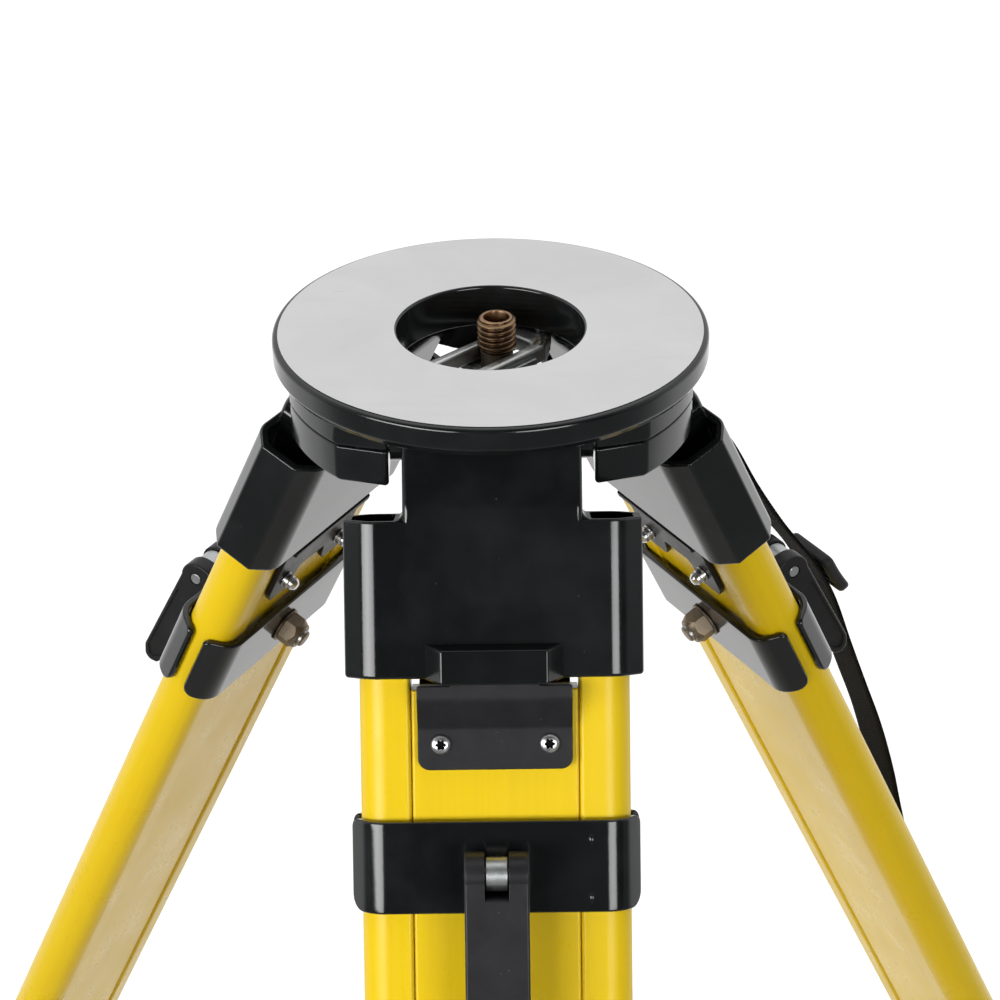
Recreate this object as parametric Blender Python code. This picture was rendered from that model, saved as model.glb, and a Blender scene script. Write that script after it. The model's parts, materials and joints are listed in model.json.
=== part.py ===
"""Heavy-duty surveying tripod: round flat head, three telescoping legs with quick cam clamps.

Metres, +Z up.  The legs stand collapsed and spread.  Lengths below are in millimetres and are
turned into metres by MM.  Every leg is modelled once in its own frame: x across the leg, y away
from the head (outward), z up along the leg, with the hinge axis at y = z = 0.  A station s is the
distance down the leg's centre line from the plane of the head's top face.
"""

import math

import bmesh
import bpy
from mathutils import Matrix, Vector

for old in list(bpy.data.objects):
    bpy.data.objects.remove(old, do_unlink=True)

MM = 0.001
GAP = 0.3  # running clearance between neighbouring pieces

# ---------------------------------------------------------------- head
HEAD_FACE_R = 84.0
HEAD_RIM_R = 86.3
HEAD_HOLE_R = 37.9
HEAD_PLATE_T = 7.5
HEAD_RIM_DEPTH = 12.0
HUB_WALL_R = 40.3
HUB_DEPTH = 17.3
SKIRT_R = 82.0
SKIRT_BOTTOM = -21.5
CAP_TOP = -22.0
CAP_BOTTOM = -37.0
CAP_FLAT_DIST = 71.5
CAP_FLAT_ANGLE = 43.5
CAP_END_OFFSET = 39.3
CAP_INNER = 48.0

# ---------------------------------------------------------------- legs
LEAN = math.radians(25.85)  # lean of each leg from the vertical as the tripod stands
LEG_RADIUS_AT_FACE = 41.7  # centre line of the leg where it would cross the head's top plane
HINGE_DEPTH = 21.75
PIN_R = 5.5
PIN_HALF = 52.0
S_HINGE = HINGE_DEPTH / math.cos(LEAN)
HINGE_RADIUS = LEG_RADIUS_AT_FACE + HINGE_DEPTH * math.tan(LEAN)
LEGS = (("front", -90.0), ("right", 30.0), ("left", 150.0))

RAIL_OUT = 51.9
RAIL_IN = 32.2
RAIL_T = 11.0
RAIL_TOP = 72.0
RAIL_BOTTOM = 900.0
SLAB_HALF = 31.9
SLAB_T = 10.0
SLAB_TOP = 119.6
SLAB_BOTTOM = 955.0

YOKE_HALF = 57.0
YOKE_T = 16.0
YOKE_FLAT = 8.5
YOKE_SHOULDER = 48.0
YOKE_TOP_OUT = 54.8
YOKE_TOP_IN = 53.8
YOKE_BOTTOM = 114.8
TAB_HALF = 34.1
BARREL_R = 12.0
HUB_R = 8.2
HUB_HALF = 38.8

STOP_TOP = 117.0
STOP_BOTTOM = 150.0
STOP_HALF = 29.5
SCREW_S = 140.0
SCREW_X = 20.7

CLAMP_HEIGHT = 35.5
CLAMP_HALF = 55.7
BOLT_S = 183.0
LEVER_PIN_Y = 27.0
LEVER_HALF = 12.2
LEVER_CAM_R = 10.2
LEVER_TIP = 242.0

COLLAR_TOP = 862.0
COLLAR_BOTTOM = 904.0

SHOE_TOP = 912.0
SHOE_BOTTOM = 985.0
TIP_S = 1075.0

# ---------------------------------------------------------------- centring arm and screw
ARM_PIVOT = (19.6, 35.3)
ARM_PIN_R = 1.9
ARM_ANGLE = math.radians(224.0)
ARM_TOP = -19.0
ARM_BOTTOM = -26.0
ARM_HALF = 12.2
ARM_SLOT_HALF = 7.15
SCREW_Q = 24.0  # distance of the screw from the arm's pivot
THREAD_R = 15.875 / 2
SCREW_TOP = -4.7
SCREW_BORE_R = 5.2

# ---------------------------------------------------------------- carrying strap
STRAP_X = -28.0
STRAP_HALF = 12.5
STRAP_T = 2.0
STRAP_PATH = (
    (62, 18.0), (72, 18.6), (84, 24.0), (100, 31.5), (125, 36.3), (155, 37.6), (185, 40.6),
    (215, 46.0), (240, 47.4), (270, 44.8), (300, 42.5), (330, 40.5), (360, 36.3), (390, 30.6),
    (425, 25.2), (470, 22.8), (530, 22.3), (650, 22.3), (770, 22.3), (812, 21.6), (845, 17.8),
    (862, 16.9), (885, 16.9),
)


# ================================================================ materials
def material(name, colour, roughness, metallic):
    made = bpy.data.materials.new(name)
    made.use_nodes = True
    shader = made.node_tree.nodes["Principled BSDF"]
    shader.inputs["Base Color"].default_value = (*colour, 1.0)
    shader.inputs["Roughness"].default_value = roughness
    shader.inputs["Metallic"].default_value = metallic
    made.diffuse_color = (*colour, 1.0)
    return made


FINISH = {
    "gloss_black": ((0.009, 0.010, 0.011), 0.18, 0.0),
    "satin_black": ((0.018, 0.018, 0.020), 0.42, 0.0),
    "yellow": ((0.84, 0.60, 0.012), 0.30, 0.0),
    "machined": ((0.66, 0.66, 0.67), 0.38, 1.0),
    "cast_alu": ((0.50, 0.51, 0.50), 0.45, 1.0),
    "bronze": ((0.36, 0.20, 0.09), 0.35, 1.0),
    "bronze_dark": ((0.16, 0.13, 0.09), 0.38, 1.0),
    "steel": ((0.55, 0.55, 0.56), 0.28, 1.0),
    "chrome": ((0.78, 0.78, 0.80), 0.10, 1.0),
    "knob_plastic": ((0.020, 0.020, 0.022), 0.50, 0.0),
    "webbing": ((0.012, 0.012, 0.013), 0.85, 0.0),
}


# ================================================================ shape helpers
def finish_mesh(bm, scale=MM):
    bmesh.ops.remove_doubles(bm, verts=bm.verts, dist=1e-5)
    bmesh.ops.recalc_face_normals(bm, faces=bm.faces)
    if bm.calc_volume(signed=True) < 0:
        bmesh.ops.reverse_faces(bm, faces=bm.faces)
    bmesh.ops.scale(bm, vec=(scale, scale, scale), verts=bm.verts)
    return bm


def to_axis(axis, u, v, w):
    """A point with section coordinates (u, v) and position w along the named axis."""
    if axis == "z":
        return (u, v, w)
    if axis == "x":
        return (w, u, v)
    return (u, w, v)


def prism(outline, a, b, axis="z"):
    bm = bmesh.new()
    low = [bm.verts.new(to_axis(axis, u, v, a)) for u, v in outline]
    high = [bm.verts.new(to_axis(axis, u, v, b)) for u, v in outline]
    count = len(outline)
    bm.faces.new(low)
    bm.faces.new(high)
    for i in range(count):
        j = (i + 1) % count
        bm.faces.new((low[i], low[j], high[j], high[i]))
    return finish_mesh(bm)


def loft(sections):
    """A closed solid through rings of the same number of points, capped at both ends."""
    bm = bmesh.new()
    rings = [[bm.verts.new(p) for p in ring] for ring in sections]
    count = len(rings[0])
    for a, b in zip(rings, rings[1:]):
        for i in range(count):
            j = (i + 1) % count
            bm.faces.new((a[i], a[j], b[j], b[i]))
    bm.faces.new(rings[0])
    bm.faces.new(rings[-1])
    return finish_mesh(bm)


def turned(profile, sides, axis="z", centre=(0.0, 0.0, 0.0), start=0.0):
    """Turns a closed (radius, height) outline about an axis; a radius of zero makes a pole."""
    bm = bmesh.new()
    rings = []
    for radius, height in profile:
        if radius == 0:
            rings.append([bm.verts.new(to_axis(axis, 0, 0, height))] * sides)
            continue
        ring = []
        for k in range(sides):
            a = start + 2 * math.pi * k / sides
            ring.append(bm.verts.new(to_axis(axis, radius * math.cos(a), radius * math.sin(a), height)))
        rings.append(ring)
    for a, b in zip(rings, rings[1:] + rings[:1]):
        for i in range(sides):
            j = (i + 1) % sides
            corner = []
            for vert in (a[i], a[j], b[j], b[i]):
                if vert not in corner:
                    corner.append(vert)
            if len(corner) > 2:
                bm.faces.new(corner)
    bmesh.ops.translate(bm, vec=centre, verts=bm.verts)
    return finish_mesh(bm)


def cylinder(radius, a, b, sides=12, axis="x", centre=(0.0, 0.0), start=0.0):
    outline = [
        (centre[0] + radius * math.cos(start + 2 * math.pi * k / sides),
         centre[1] + radius * math.sin(start + 2 * math.pi * k / sides))
        for k in range(sides)
    ]
    return prism(outline, a, b, axis)


def box(x0, x1, y0, y1, z0, z1):
    return prism([(x0, y0), (x1, y0), (x1, y1), (x0, y1)], z0, z1)


def rounded(corners, steps=3):
    """An outline whose corners (x, y, radius) are rounded with tangent arcs."""
    points = []
    count = len(corners)
    for i in range(count):
        x, y, radius = corners[i]
        here = Vector((x, y))
        if radius <= 0:
            points.append((x, y))
            continue
        before = (Vector(corners[i - 1][:2]) - here).normalized()
        after = (Vector(corners[(i + 1) % count][:2]) - here).normalized()
        half = before.angle(after) / 2
        reach = radius / math.tan(half)
        centre = here + (before + after).normalized() * (radius / math.sin(half))
        start = here + before * reach - centre
        end = here + after * reach - centre
        sweep = start.angle_signed(end)
        for k in range(steps + 1):
            a = -sweep * k / steps
            c, s = math.cos(a), math.sin(a)
            points.append((centre.x + c * start.x - s * start.y, centre.y + s * start.x + c * start.y))
    return points


def make(name, bm, finish=None, parent=None, location=(0, 0, 0), hidden=False, smooth=True):
    mesh = bpy.data.meshes.new(name)
    bm.to_mesh(mesh)
    bm.free()
    obj = bpy.data.objects.new(name, mesh)
    bpy.context.scene.collection.objects.link(obj)
    if finish:
        colour, roughness, metallic = FINISH[finish]
        key = "finish_" + finish
        mesh.materials.append(bpy.data.materials.get(key) or material(key, colour, roughness, metallic))
    if parent:
        obj.parent = parent
    obj.location = Vector(location) * MM
    if hidden:
        obj.hide_render = True
        obj.display_type = "WIRE"
    elif smooth:
        mesh.shade_smooth()
        mesh.set_sharp_from_angle(angle=math.radians(35))
    return obj


def tool(target, bm, operation, label):
    """Adds a Boolean of a hidden helper solid to the target, in the target's own frame."""
    helper = make(f"tool_{target.name}_{label}"[:58], bm, None, target.parent, hidden=True)
    helper.location = target.location
    modifier = target.modifiers.new(label, "BOOLEAN")
    modifier.operation = operation
    modifier.object = helper
    modifier.solver = "EXACT"
    return helper


def cut(target, bm, label):
    return tool(target, bm, "DIFFERENCE", label)


def add(target, bm, label):
    return tool(target, bm, "UNION", label)


def empty(name, parent=None, matrix=None):
    made = bpy.data.objects.new(name, None)
    bpy.context.scene.collection.objects.link(made)
    made.empty_display_size = 0.03
    if parent:
        made.parent = parent
    if matrix is not None:
        made.matrix_basis = matrix
    return made


def z_at(station):
    """Height in the leg's own frame of a station down the leg."""
    return S_HINGE - station


def polar(radius, degrees):
    a = math.radians(degrees)
    return radius * math.cos(a), radius * math.sin(a)


# ================================================================ the head
root = empty("tripod")
head = empty("head_frame", root)


def bearing_outline(radius, inset=0.0):
    """Plan of one bearing block on the +Y axis: round outside, two flats, ends along the legs."""
    normal = math.radians(90 - CAP_FLAT_ANGLE)
    dist = CAP_FLAT_DIST - inset
    along = Vector((math.cos(math.radians(30)), math.sin(math.radians(30))))
    end = CAP_END_OFFSET + inset
    inner = Vector(((CAP_INNER * math.cos(math.radians(30)) - end) / math.sin(math.radians(30)), CAP_INNER))
    flat = Vector((math.cos(normal), math.sin(normal)))
    corner = inner + along * ((dist - inner.dot(flat)) / along.dot(flat))
    first = math.degrees(normal) + math.degrees(math.acos(dist / (radius - inset)))
    right = [tuple(inner), tuple(corner)]
    steps = 4
    arc = [polar(radius - inset, first + (180 - 2 * first) * k / steps) for k in range(steps + 1)]
    left = [(-x, y) for x, y in reversed(right)]
    return right + arc + left


def spun(outline, degrees):
    c, s = math.cos(math.radians(degrees)), math.sin(math.radians(degrees))
    return [(c * x - s * y, s * x + c * y) for x, y in outline]


def hinge_bore(alpha, radius, half):
    """A long cylinder on one leg's hinge axis, for the half bores in skirt and cap."""
    bm = cylinder(radius, -half, half, 12, "x", (0, 0), math.pi / 12)
    place = (
        Matrix.Rotation(math.radians(alpha - 90), 4, "Z")
        @ Matrix.Translation(Vector((0, HINGE_RADIUS, -HINGE_DEPTH)) * MM)
    )
    bmesh.ops.transform(bm, matrix=place, verts=bm.verts)
    return bm


head_casting = make(
    "head_casting",
    turned(
        [
            (HEAD_HOLE_R, 0), (HEAD_FACE_R, 0), (85.6, -0.9), (HEAD_RIM_R, -3.0), (HEAD_RIM_R, -6.5),
            (85.6, -9.5), (84.0, -HEAD_RIM_DEPTH), (80.5, -HEAD_RIM_DEPTH), (79.0, -HEAD_PLATE_T),
            (HUB_WALL_R, -HEAD_PLATE_T), (HUB_WALL_R, -HUB_DEPTH), (HEAD_HOLE_R, -HUB_DEPTH),
        ],
        60,
    ),
    "gloss_black",
    head,
)
CAPS = (("rear", 0.0), ("left", 120.0), ("right", 240.0))
for side, turn in CAPS:
    add(head_casting, prism(spun(bearing_outline(SKIRT_R), turn), -HEAD_PLATE_T + 1.2, SKIRT_BOTTOM), f"skirt_{side}")
# the lug keeps outside the hole: points that would fall in it are pushed back into the hub wall
lug = []
for k in range(14):
    x, y = ARM_PIVOT[0] + polar(5.2, k * 360 / 14)[0], ARM_PIVOT[1] + polar(5.2, k * 360 / 14)[1]
    push = max(1.0, 38.5 / math.hypot(x, y))
    lug.append((x * push, y * push))
add(head_casting, prism(lug, -6.0, -18.6), "arm_lug")
cut(head_casting, cylinder(ARM_PIN_R + GAP, -15.0, -30.0, 10, "z", ARM_PIVOT), "arm_pin_hole")
for leg, alpha in LEGS:
    cut(head_casting, hinge_bore(alpha, PIN_R + GAP, PIN_HALF + 0.4), f"bore_{leg}")

for side, turn in CAPS:
    cap = make(
        f"bearing_cap_{side}",
        prism(spun(bearing_outline(SKIRT_R - 0.3), turn), CAP_TOP, CAP_BOTTOM),
        "gloss_black",
        head,
    )
    for leg, alpha in LEGS:
        if abs(((alpha - 90 - turn + 180) % 360) - 180) < 70:
            cut(cap, hinge_bore(alpha, PIN_R + GAP, PIN_HALF + 0.4), f"bore_{leg}")

# ---------------------------------------------------------------- swinging arm
arm_frame = empty(
    "arm_pivot",
    head,
    Matrix.Translation(Vector((ARM_PIVOT[0], ARM_PIVOT[1], 0)) * MM) @ Matrix.Rotation(ARM_ANGLE, 4, "Z"),
)
ARM_END = 69.0
arm_outline = [polar(5.0, a) for a in (110, 145, 180, 215, 250)]
arm_outline += [(4.0, -8.6), (8.5, -ARM_HALF)]
arm_outline += [(ARM_END - 4, -ARM_HALF), (ARM_END - 1, -ARM_HALF + 1.3), (ARM_END, -ARM_HALF + 4.5)]
arm_outline += [(ARM_END, ARM_HALF - 4.5), (ARM_END - 1, ARM_HALF - 1.3), (ARM_END - 4, ARM_HALF)]
arm_outline += [(8.5, ARM_HALF), (4.0, 8.6)]
centring_arm = make("centring_arm", prism(arm_outline, ARM_BOTTOM, ARM_TOP), "cast_alu", arm_frame)
cut(
    centring_arm,
    prism(
        rounded([(10.6, -ARM_SLOT_HALF, 3), (63.6, -ARM_SLOT_HALF, 3), (63.6, ARM_SLOT_HALF, 3), (10.6, ARM_SLOT_HALF, 3)], 2),
        ARM_BOTTOM - 3, ARM_TOP + 3,
    ),
    "slot",
)
cut(centring_arm, cylinder(ARM_PIN_R + GAP, ARM_BOTTOM - 3, ARM_TOP + 3, 10, "z"), "pin_hole")

make(
    "arm_pivot_pin",
    turned([(0, -29.0), (4.4, -29.0), (4.8, -28.5), (4.8, -26.3), (ARM_PIN_R, -26.3), (ARM_PIN_R, -15.3), (0, -15.3)], 10),
    "steel",
    head,
    (*ARM_PIVOT, 0),
)

slider_frame = empty("slider_frame", arm_frame, Matrix.Translation(Vector((SCREW_Q, 0, 0)) * MM))
slider = make(
    "screw_slider",
    prism(
        [(-14.2, -22.0), (-14.2, -29.0), (14.2, -29.0), (14.2, -22.0), (12.5, -22.0), (12.5, -26.3), (-12.5, -26.3), (-12.5, -22.0)],
        -9.0, 9.0, "x",
    ),
    "steel",
    slider_frame,
)
cut(slider, cylinder(6.9, -33, -24, 16, "z"), "bush_hole")

bush = make(
    "screw_bush",
    turned([(4.5, -19.0), (6.6, -19.0), (6.6, -43.4), (9.5, -43.4), (9.5, -45.7), (4.5, -45.7)], 16),
    "bronze_dark",
    slider_frame,
)

# thread envelope, hollow core, plain neck and the tail that the knob is pressed on
make(
    "centring_screw",
    turned(
        [
            (SCREW_BORE_R, SCREW_TOP), (6.4, SCREW_TOP), (THREAD_R, SCREW_TOP - 1.6), (THREAD_R, -18.7),
            (4.2, -18.7), (4.2, -64.0), (2.2, -64.0), (2.2, -16.5), (SCREW_BORE_R, -15.5),
        ],
        20,
    ),
    "bronze",
    slider_frame,
)
make(
    "screw_knob",
    turned(
        [
            (4.5, -46.0), (11.0, -46.0), (12.5, -47.5), (12.5, -62.0), (11.0, -66.0), (7.5, -66.0),
            (7.5, -64.6), (4.5, -64.6),
        ],
        18,
    ),
    "knob_plastic",
    slider_frame,
)


# ================================================================ one leg
def rail_outline(side, grow=0.0):
    g = grow
    corners = [
        (RAIL_IN - g, -RAIL_T - g, 2.0), (RAIL_OUT + g, -RAIL_T - g, 10.5 + g),
        (RAIL_OUT + g, RAIL_T + g, 10.5 + g), (RAIL_IN - g, RAIL_T + g, 2.0),
    ]
    outline = rounded(corners, 3)
    return [(side * x, y) for x, y in outline]


def yoke_mesh():
    octagon = [
        (YOKE_HALF, -YOKE_FLAT), (YOKE_HALF, YOKE_FLAT), (YOKE_SHOULDER, YOKE_T), (-YOKE_SHOULDER, YOKE_T),
        (-YOKE_HALF, YOKE_FLAT), (-YOKE_HALF, -YOKE_FLAT), (-YOKE_SHOULDER, -YOKE_T), (YOKE_SHOULDER, -YOKE_T),
    ]

    def top(y):
        return YOKE_TOP_OUT - (YOKE_T - y) / (2 * YOKE_T) * (YOKE_TOP_OUT - YOKE_TOP_IN)

    return loft(
        [
            [(x, y, z_at(YOKE_BOTTOM)) for x, y in octagon],
            [(x, y, z_at(top(y))) for x, y in octagon],
        ]
    )


def tab_outline():
    outer = [(YOKE_T, z_at(62)), (YOKE_T, z_at(50)), (15.0, z_at(40)), (13.2, z_at(31.5))]
    barrel = [polar(BARREL_R, a) for a in range(0, 181, 20)]
    inner = [(-BARREL_R, z_at(49)), (-YOKE_T + 0.1, z_at(53.5)), (-YOKE_T + 0.1, z_at(62))]
    return outer + barrel + inner


def stop_screw_mesh():
    profile = [
        (0, 16.0), (2.4, 15.8), (3.7, 14.7), (3.9, 13.6), (2.0, 13.6), (2.0, -13.2), (3.5, -13.2),
        (3.5, -16.4), (2.7, -18.6), (0, -19.6),
    ]
    return turned(profile, 10, "y")


def clamp_outline(sign):
    """Section of a pressed plate: flat middle, wide bends round the rails' corners, flanges sloping in to the edge."""
    def bend(radius, angles):
        return [(41.75 + radius * math.sin(math.radians(a)), 3.7 + radius * math.cos(math.radians(a))) for a in angles]

    outer = bend(11.7, (0, 18, 37, 55)) + [(CLAMP_HALF, 4.2)]
    inner = [(CLAMP_HALF - 2.46, 2.5)] + bend(8.8, (55, 37, 18)) + [(41.75, 12.4)]
    left = [(-x, y) for x, y in (outer + inner)[::-1]]
    return [(x, sign * y) for x, y in outer + inner + left]


def lever_outline():
    """Side view about the pin: cam end, flat back, rounded tip."""
    cam = [polar(LEVER_CAM_R, a) for a in (10, 40, 70, 100, 130, 160, 190, 220, 250)]
    drop = BOLT_S - LEVER_TIP
    body = [(-1.8, -16.0), (-1.6, drop + 6), (0.6, drop + 1.2), (4.4, drop), (7.6, drop + 1.6), (9.6, drop + 6.5), (10.2, -20.0)]
    return cam + body


def ring_loft(specs, sides=16):
    """Rings of rounded-rectangle sections (station, half x, half y, squareness, y shift)."""
    rings = []
    for station, hx, hy, power, shift in specs:
        ring = []
        for k in range(sides):
            a = 2 * math.pi * (k + 0.5) / sides
            c, s = math.cos(a), math.sin(a)
            e = 2.0 / power
            ring.append(
                (hx * math.copysign(abs(c) ** e, c), shift + hy * math.copysign(abs(s) ** e, s), z_at(station))
            )
        rings.append(ring)
    return loft(rings)


for leg, alpha in LEGS:
    # the front leg's clamp is set a little lower on its board than the other two
    bolt_s = BOLT_S + (4.25 if leg == "front" else 0.0)
    clamp_top, clamp_bottom = bolt_s - CLAMP_HEIGHT / 2, bolt_s + CLAMP_HEIGHT / 2
    hinge = empty(
        f"{leg}_leg_hinge",
        head,
        Matrix.Rotation(math.radians(alpha - 90), 4, "Z")
        @ Matrix.Translation(Vector((0, HINGE_RADIUS, -HINGE_DEPTH)) * MM)
        @ Matrix.Rotation(LEAN, 4, "X"),
    )
    slide = empty(f"{leg}_slide_frame", hinge)

    # ------------------------------------------------ upper leg
    yoke = make(f"{leg}_yoke", yoke_mesh(), "gloss_black", hinge, smooth=False)
    add(yoke, prism(tab_outline(), -TAB_HALF, TAB_HALF, "x"), "tab")
    add(yoke, cylinder(HUB_R, -HUB_HALF, HUB_HALF, 14, "x"), "hub")
    bump = [
        [(x, 14.0, z_at(s)) for x, s in ((-26.5, 115.6), (26.5, 115.6), (26.5, 101.0), (-26.5, 101.0))],
        [(x, 24.0, z_at(s)) for x, s in ((-20.6, 116.3), (20.6, 116.3), (20.6, 102.8), (-20.6, 102.8))],
    ]
    add(yoke, loft(bump), "bump")
    cut(yoke, cylinder(PIN_R + GAP, -45, 45, 12, "x", (0, 0), math.pi / 12), "pin_bore")
    for side in (-1, 1):
        label = "left" if side < 0 else "right"
        cut(yoke, prism(rail_outline(side, GAP), z_at(RAIL_TOP - GAP), z_at(119)), f"rail_{label}")
        pocket = [(37.4, -12.4), (47.0, -12.4), (53.6, -6.8), (53.6, 6.8), (47.0, 12.4), (37.4, 12.4)]
        cut(yoke, prism([(side * x, y) for x, y in pocket], z_at(67.5), z_at(45)), f"pocket_{label}")
    cut(yoke, box(-28.8, 28.8, -12.6, 12.6, z_at(119), z_at(70)), "core")
    cut(yoke, box(-18.0, 18.0, 10.0, 21.2, z_at(119), z_at(106)), "keeper")

    make(f"{leg}_hinge_pin", cylinder(PIN_R, -PIN_HALF, PIN_HALF, 12, "x", (0, 0), math.pi / 12), "steel", hinge)
    for side, label in ((-1, "left"), (1, "right")):
        make(f"{leg}_rail_{label}", prism(rail_outline(side), z_at(RAIL_BOTTOM), z_at(RAIL_TOP)), "yellow", hinge)

    collar = make(
        f"{leg}_lower_collar",
        prism(
            [(57, -9), (57, 9), (50, 15.8), (-50, 15.8), (-57, 9), (-57, -9), (-50, -15.8), (50, -15.8)],
            z_at(COLLAR_BOTTOM), z_at(COLLAR_TOP),
        ),
        "gloss_black",
        hinge,
        smooth=False,
    )
    cut(
        collar,
        prism(rounded([(-52.2, -11.3, 7), (52.2, -11.3, 7), (52.2, 11.3, 7), (-52.2, 11.3, 7)], 3), z_at(908), z_at(858)),
        "bore",
    )

    # ------------------------------------------------ lower leg
    slab = make(
        f"{leg}_sliding_leg",
        prism(
            rounded([(-SLAB_HALF, -SLAB_T, 1.2), (SLAB_HALF, -SLAB_T, 1.2), (SLAB_HALF, SLAB_T, 1.2), (-SLAB_HALF, SLAB_T, 1.2)], 1),
            z_at(SLAB_BOTTOM), z_at(SLAB_TOP),
        ),
        "yellow",
        slide,
        smooth=False,
    )
    cut(slab, cylinder(4.3, -20, 20, 12, "y", (0, z_at(bolt_s))), "bolt_hole")
    for side, label in ((-1, "left"), (1, "right")):
        cut(slab, cylinder(2.3, -20, 20, 8, "y", (side * SCREW_X, z_at(SCREW_S))), f"screw_{label}")

    stop_profile = [
        (10.3, z_at(STOP_BOTTOM)), (13.3, z_at(STOP_BOTTOM)), (13.3, z_at(134)), (19.8, z_at(122)), (19.8, z_at(STOP_TOP)),
        (16.8, z_at(STOP_TOP)), (16.8, z_at(121.5)), (10.3, z_at(133)),
    ]
    stop_outer = make(f"{leg}_stop_plate_outer", prism(stop_profile, -STOP_HALF, STOP_HALF, "x"), "satin_black", slide, smooth=False)
    add(stop_outer, box(-16.8, 16.8, 16.8, 19.8, z_at(118.5), z_at(110.5)), "tongue")
    for side, label in ((-1, "left"), (1, "right")):
        corner = [(side * (STOP_HALF + 1), z_at(145)), (side * STOP_HALF, z_at(145)), (side * 28.0, z_at(148.5)), (side * 24.5, z_at(150)), (side * 24.5, z_at(151)), (side * (STOP_HALF + 1), z_at(151))]
        cut(stop_outer, prism(corner, 5, 25, "y"), f"corner_{label}")
        cut(stop_outer, cylinder(2.3, 5, 25, 8, "y", (side * SCREW_X, z_at(SCREW_S))), f"screw_{label}")

    inner_outline = [
        (-STOP_HALF, 116.2), (STOP_HALF, 116.2), (STOP_HALF, 146), (26.5, 151), (14.5, 151), (11.5, 146), (9.5, 139.5),
        (-9.5, 139.5), (-11.5, 146), (-14.5, 151), (-26.5, 151), (-STOP_HALF, 146),
    ]
    stop_inner = make(
        f"{leg}_stop_plate_inner",
        prism([(x, z_at(s)) for x, s in inner_outline], -12.9, -10.3, "y"),
        "satin_black",
        slide,
        smooth=False,
    )
    add(stop_inner, box(-STOP_HALF + 0.6, STOP_HALF - 0.6, -16.2, -11.6, z_at(119.4), z_at(116.8)), "lip")
    for side, label in ((-1, "left"), (1, "right")):
        cut(stop_inner, cylinder(2.3, -20, -5, 8, "y", (side * SCREW_X, z_at(SCREW_S))), f"screw_{label}")
        make(f"{leg}_stop_screw_{label}", stop_screw_mesh(), "chrome", slide, (side * SCREW_X, 0, z_at(SCREW_S)))

    for sign, label in ((1, "outer"), (-1, "inner")):
        plate = make(
            f"{leg}_clamp_plate_{label}", prism(clamp_outline(sign), z_at(clamp_bottom), z_at(clamp_top)), "gloss_black", slide, smooth=False
        )
        cut(plate, cylinder(4.3, -30, 30, 12, "y", (0, z_at(bolt_s))), "bolt_hole")
        for side in (-1, 1):
            end = "left" if side < 0 else "right"
            for low, station in (("low", clamp_bottom), ("top", clamp_top)):
                turn = -1 if low == "top" else 1
                reach = 5.8 if low == "low" else 3.0
                across = reach * 0.6
                corner = [
                    (side * (CLAMP_HALF + 2), z_at(station - turn * reach)), (side * CLAMP_HALF, z_at(station - turn * reach)),
                    (side * (CLAMP_HALF - across * 0.3), z_at(station - turn * reach * 0.3)), (side * (CLAMP_HALF - across), z_at(station)),
                    (side * (CLAMP_HALF - across), z_at(station + turn * 2)), (side * (CLAMP_HALF + 2), z_at(station + turn * 2)),
                ]
                cut(plate, prism(corner, -30, 30, "y"), f"{low}_{end}")

    bolt = make(
        f"{leg}_clamp_bolt",
        turned([(0, 24), (4.0, 24), (4.0, -26.0), (3.2, -27.0), (0, -27.0)], 12, "y", (0, 0, z_at(bolt_s))),
        "steel",
        slide,
    )
    add(bolt, cylinder(6.4, -4.2, 4.2, 14, "x", (LEVER_PIN_Y, z_at(bolt_s))), "eye")
    add(bolt, cylinder(2.6, -12.0, 12.0, 10, "x", (LEVER_PIN_Y, z_at(bolt_s))), "cross_pin")
    nut = make(
        f"{leg}_clamp_nut",
        cylinder(7.5, -16.0, -25.0, 6, "y", (0, z_at(bolt_s))),
        "bronze_dark",
        slide,
        smooth=False,
    )
    cut(nut, cylinder(4.3, -30, -10, 12, "y", (0, z_at(bolt_s))), "thread")

    lever_frame = empty(f"{leg}_lever_pin_axis", slide, Matrix.Translation(Vector((0, LEVER_PIN_Y, z_at(bolt_s))) * MM))
    lever = make(f"{leg}_cam_lever", prism(lever_outline(), -LEVER_HALF, LEVER_HALF, "x"), "satin_black", lever_frame)
    cut(lever, box(-9.7, 9.7, -14, 7.8, LEVER_TIP * -1 + BOLT_S + 3.0, -15.0), "channel")
    cut(lever, box(-4.6, 4.6, -14, 14, -11.8, 14), "eye_slot")
    cut(lever, cylinder(2.9, -14, 14, 10, "x"), "pin_hole")

    foot = make(
        f"{leg}_foot",
        ring_loft(
            [
                (SHOE_TOP, 35.6, 13.6, 7, 0), (960, 35.6, 13.6, 7, 0), (SHOE_BOTTOM, 33.0, 13.4, 5, 0), (1008, 17.0, 11.5, 3, 0),
                (1024, 10.5, 10.0, 2.2, 0), (1050, 8.4, 8.4, 2, 0), (1069, 3.6, 3.6, 2, 0), (1073.6, 2.3, 2.3, 2, 0), (TIP_S, 1.0, 1.0, 2, 0),
            ]
        ),
        "cast_alu",
        slide,
    )
    step = [(-15, 6), (15, 6), (15, 40), (11, 46), (-11, 46), (-15, 40)]
    add(foot, prism(step, z_at(984), z_at(976)), "step")
    add(foot, prism([(8, z_at(980)), (38, z_at(980)), (34, z_at(984)), (9, z_at(1012))], -3, 3, "x"), "gusset")
    cut(foot, box(-SLAB_HALF - GAP, SLAB_HALF + GAP, -SLAB_T - GAP, SLAB_T + GAP, z_at(SLAB_BOTTOM + GAP), z_at(900)), "socket")


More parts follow.
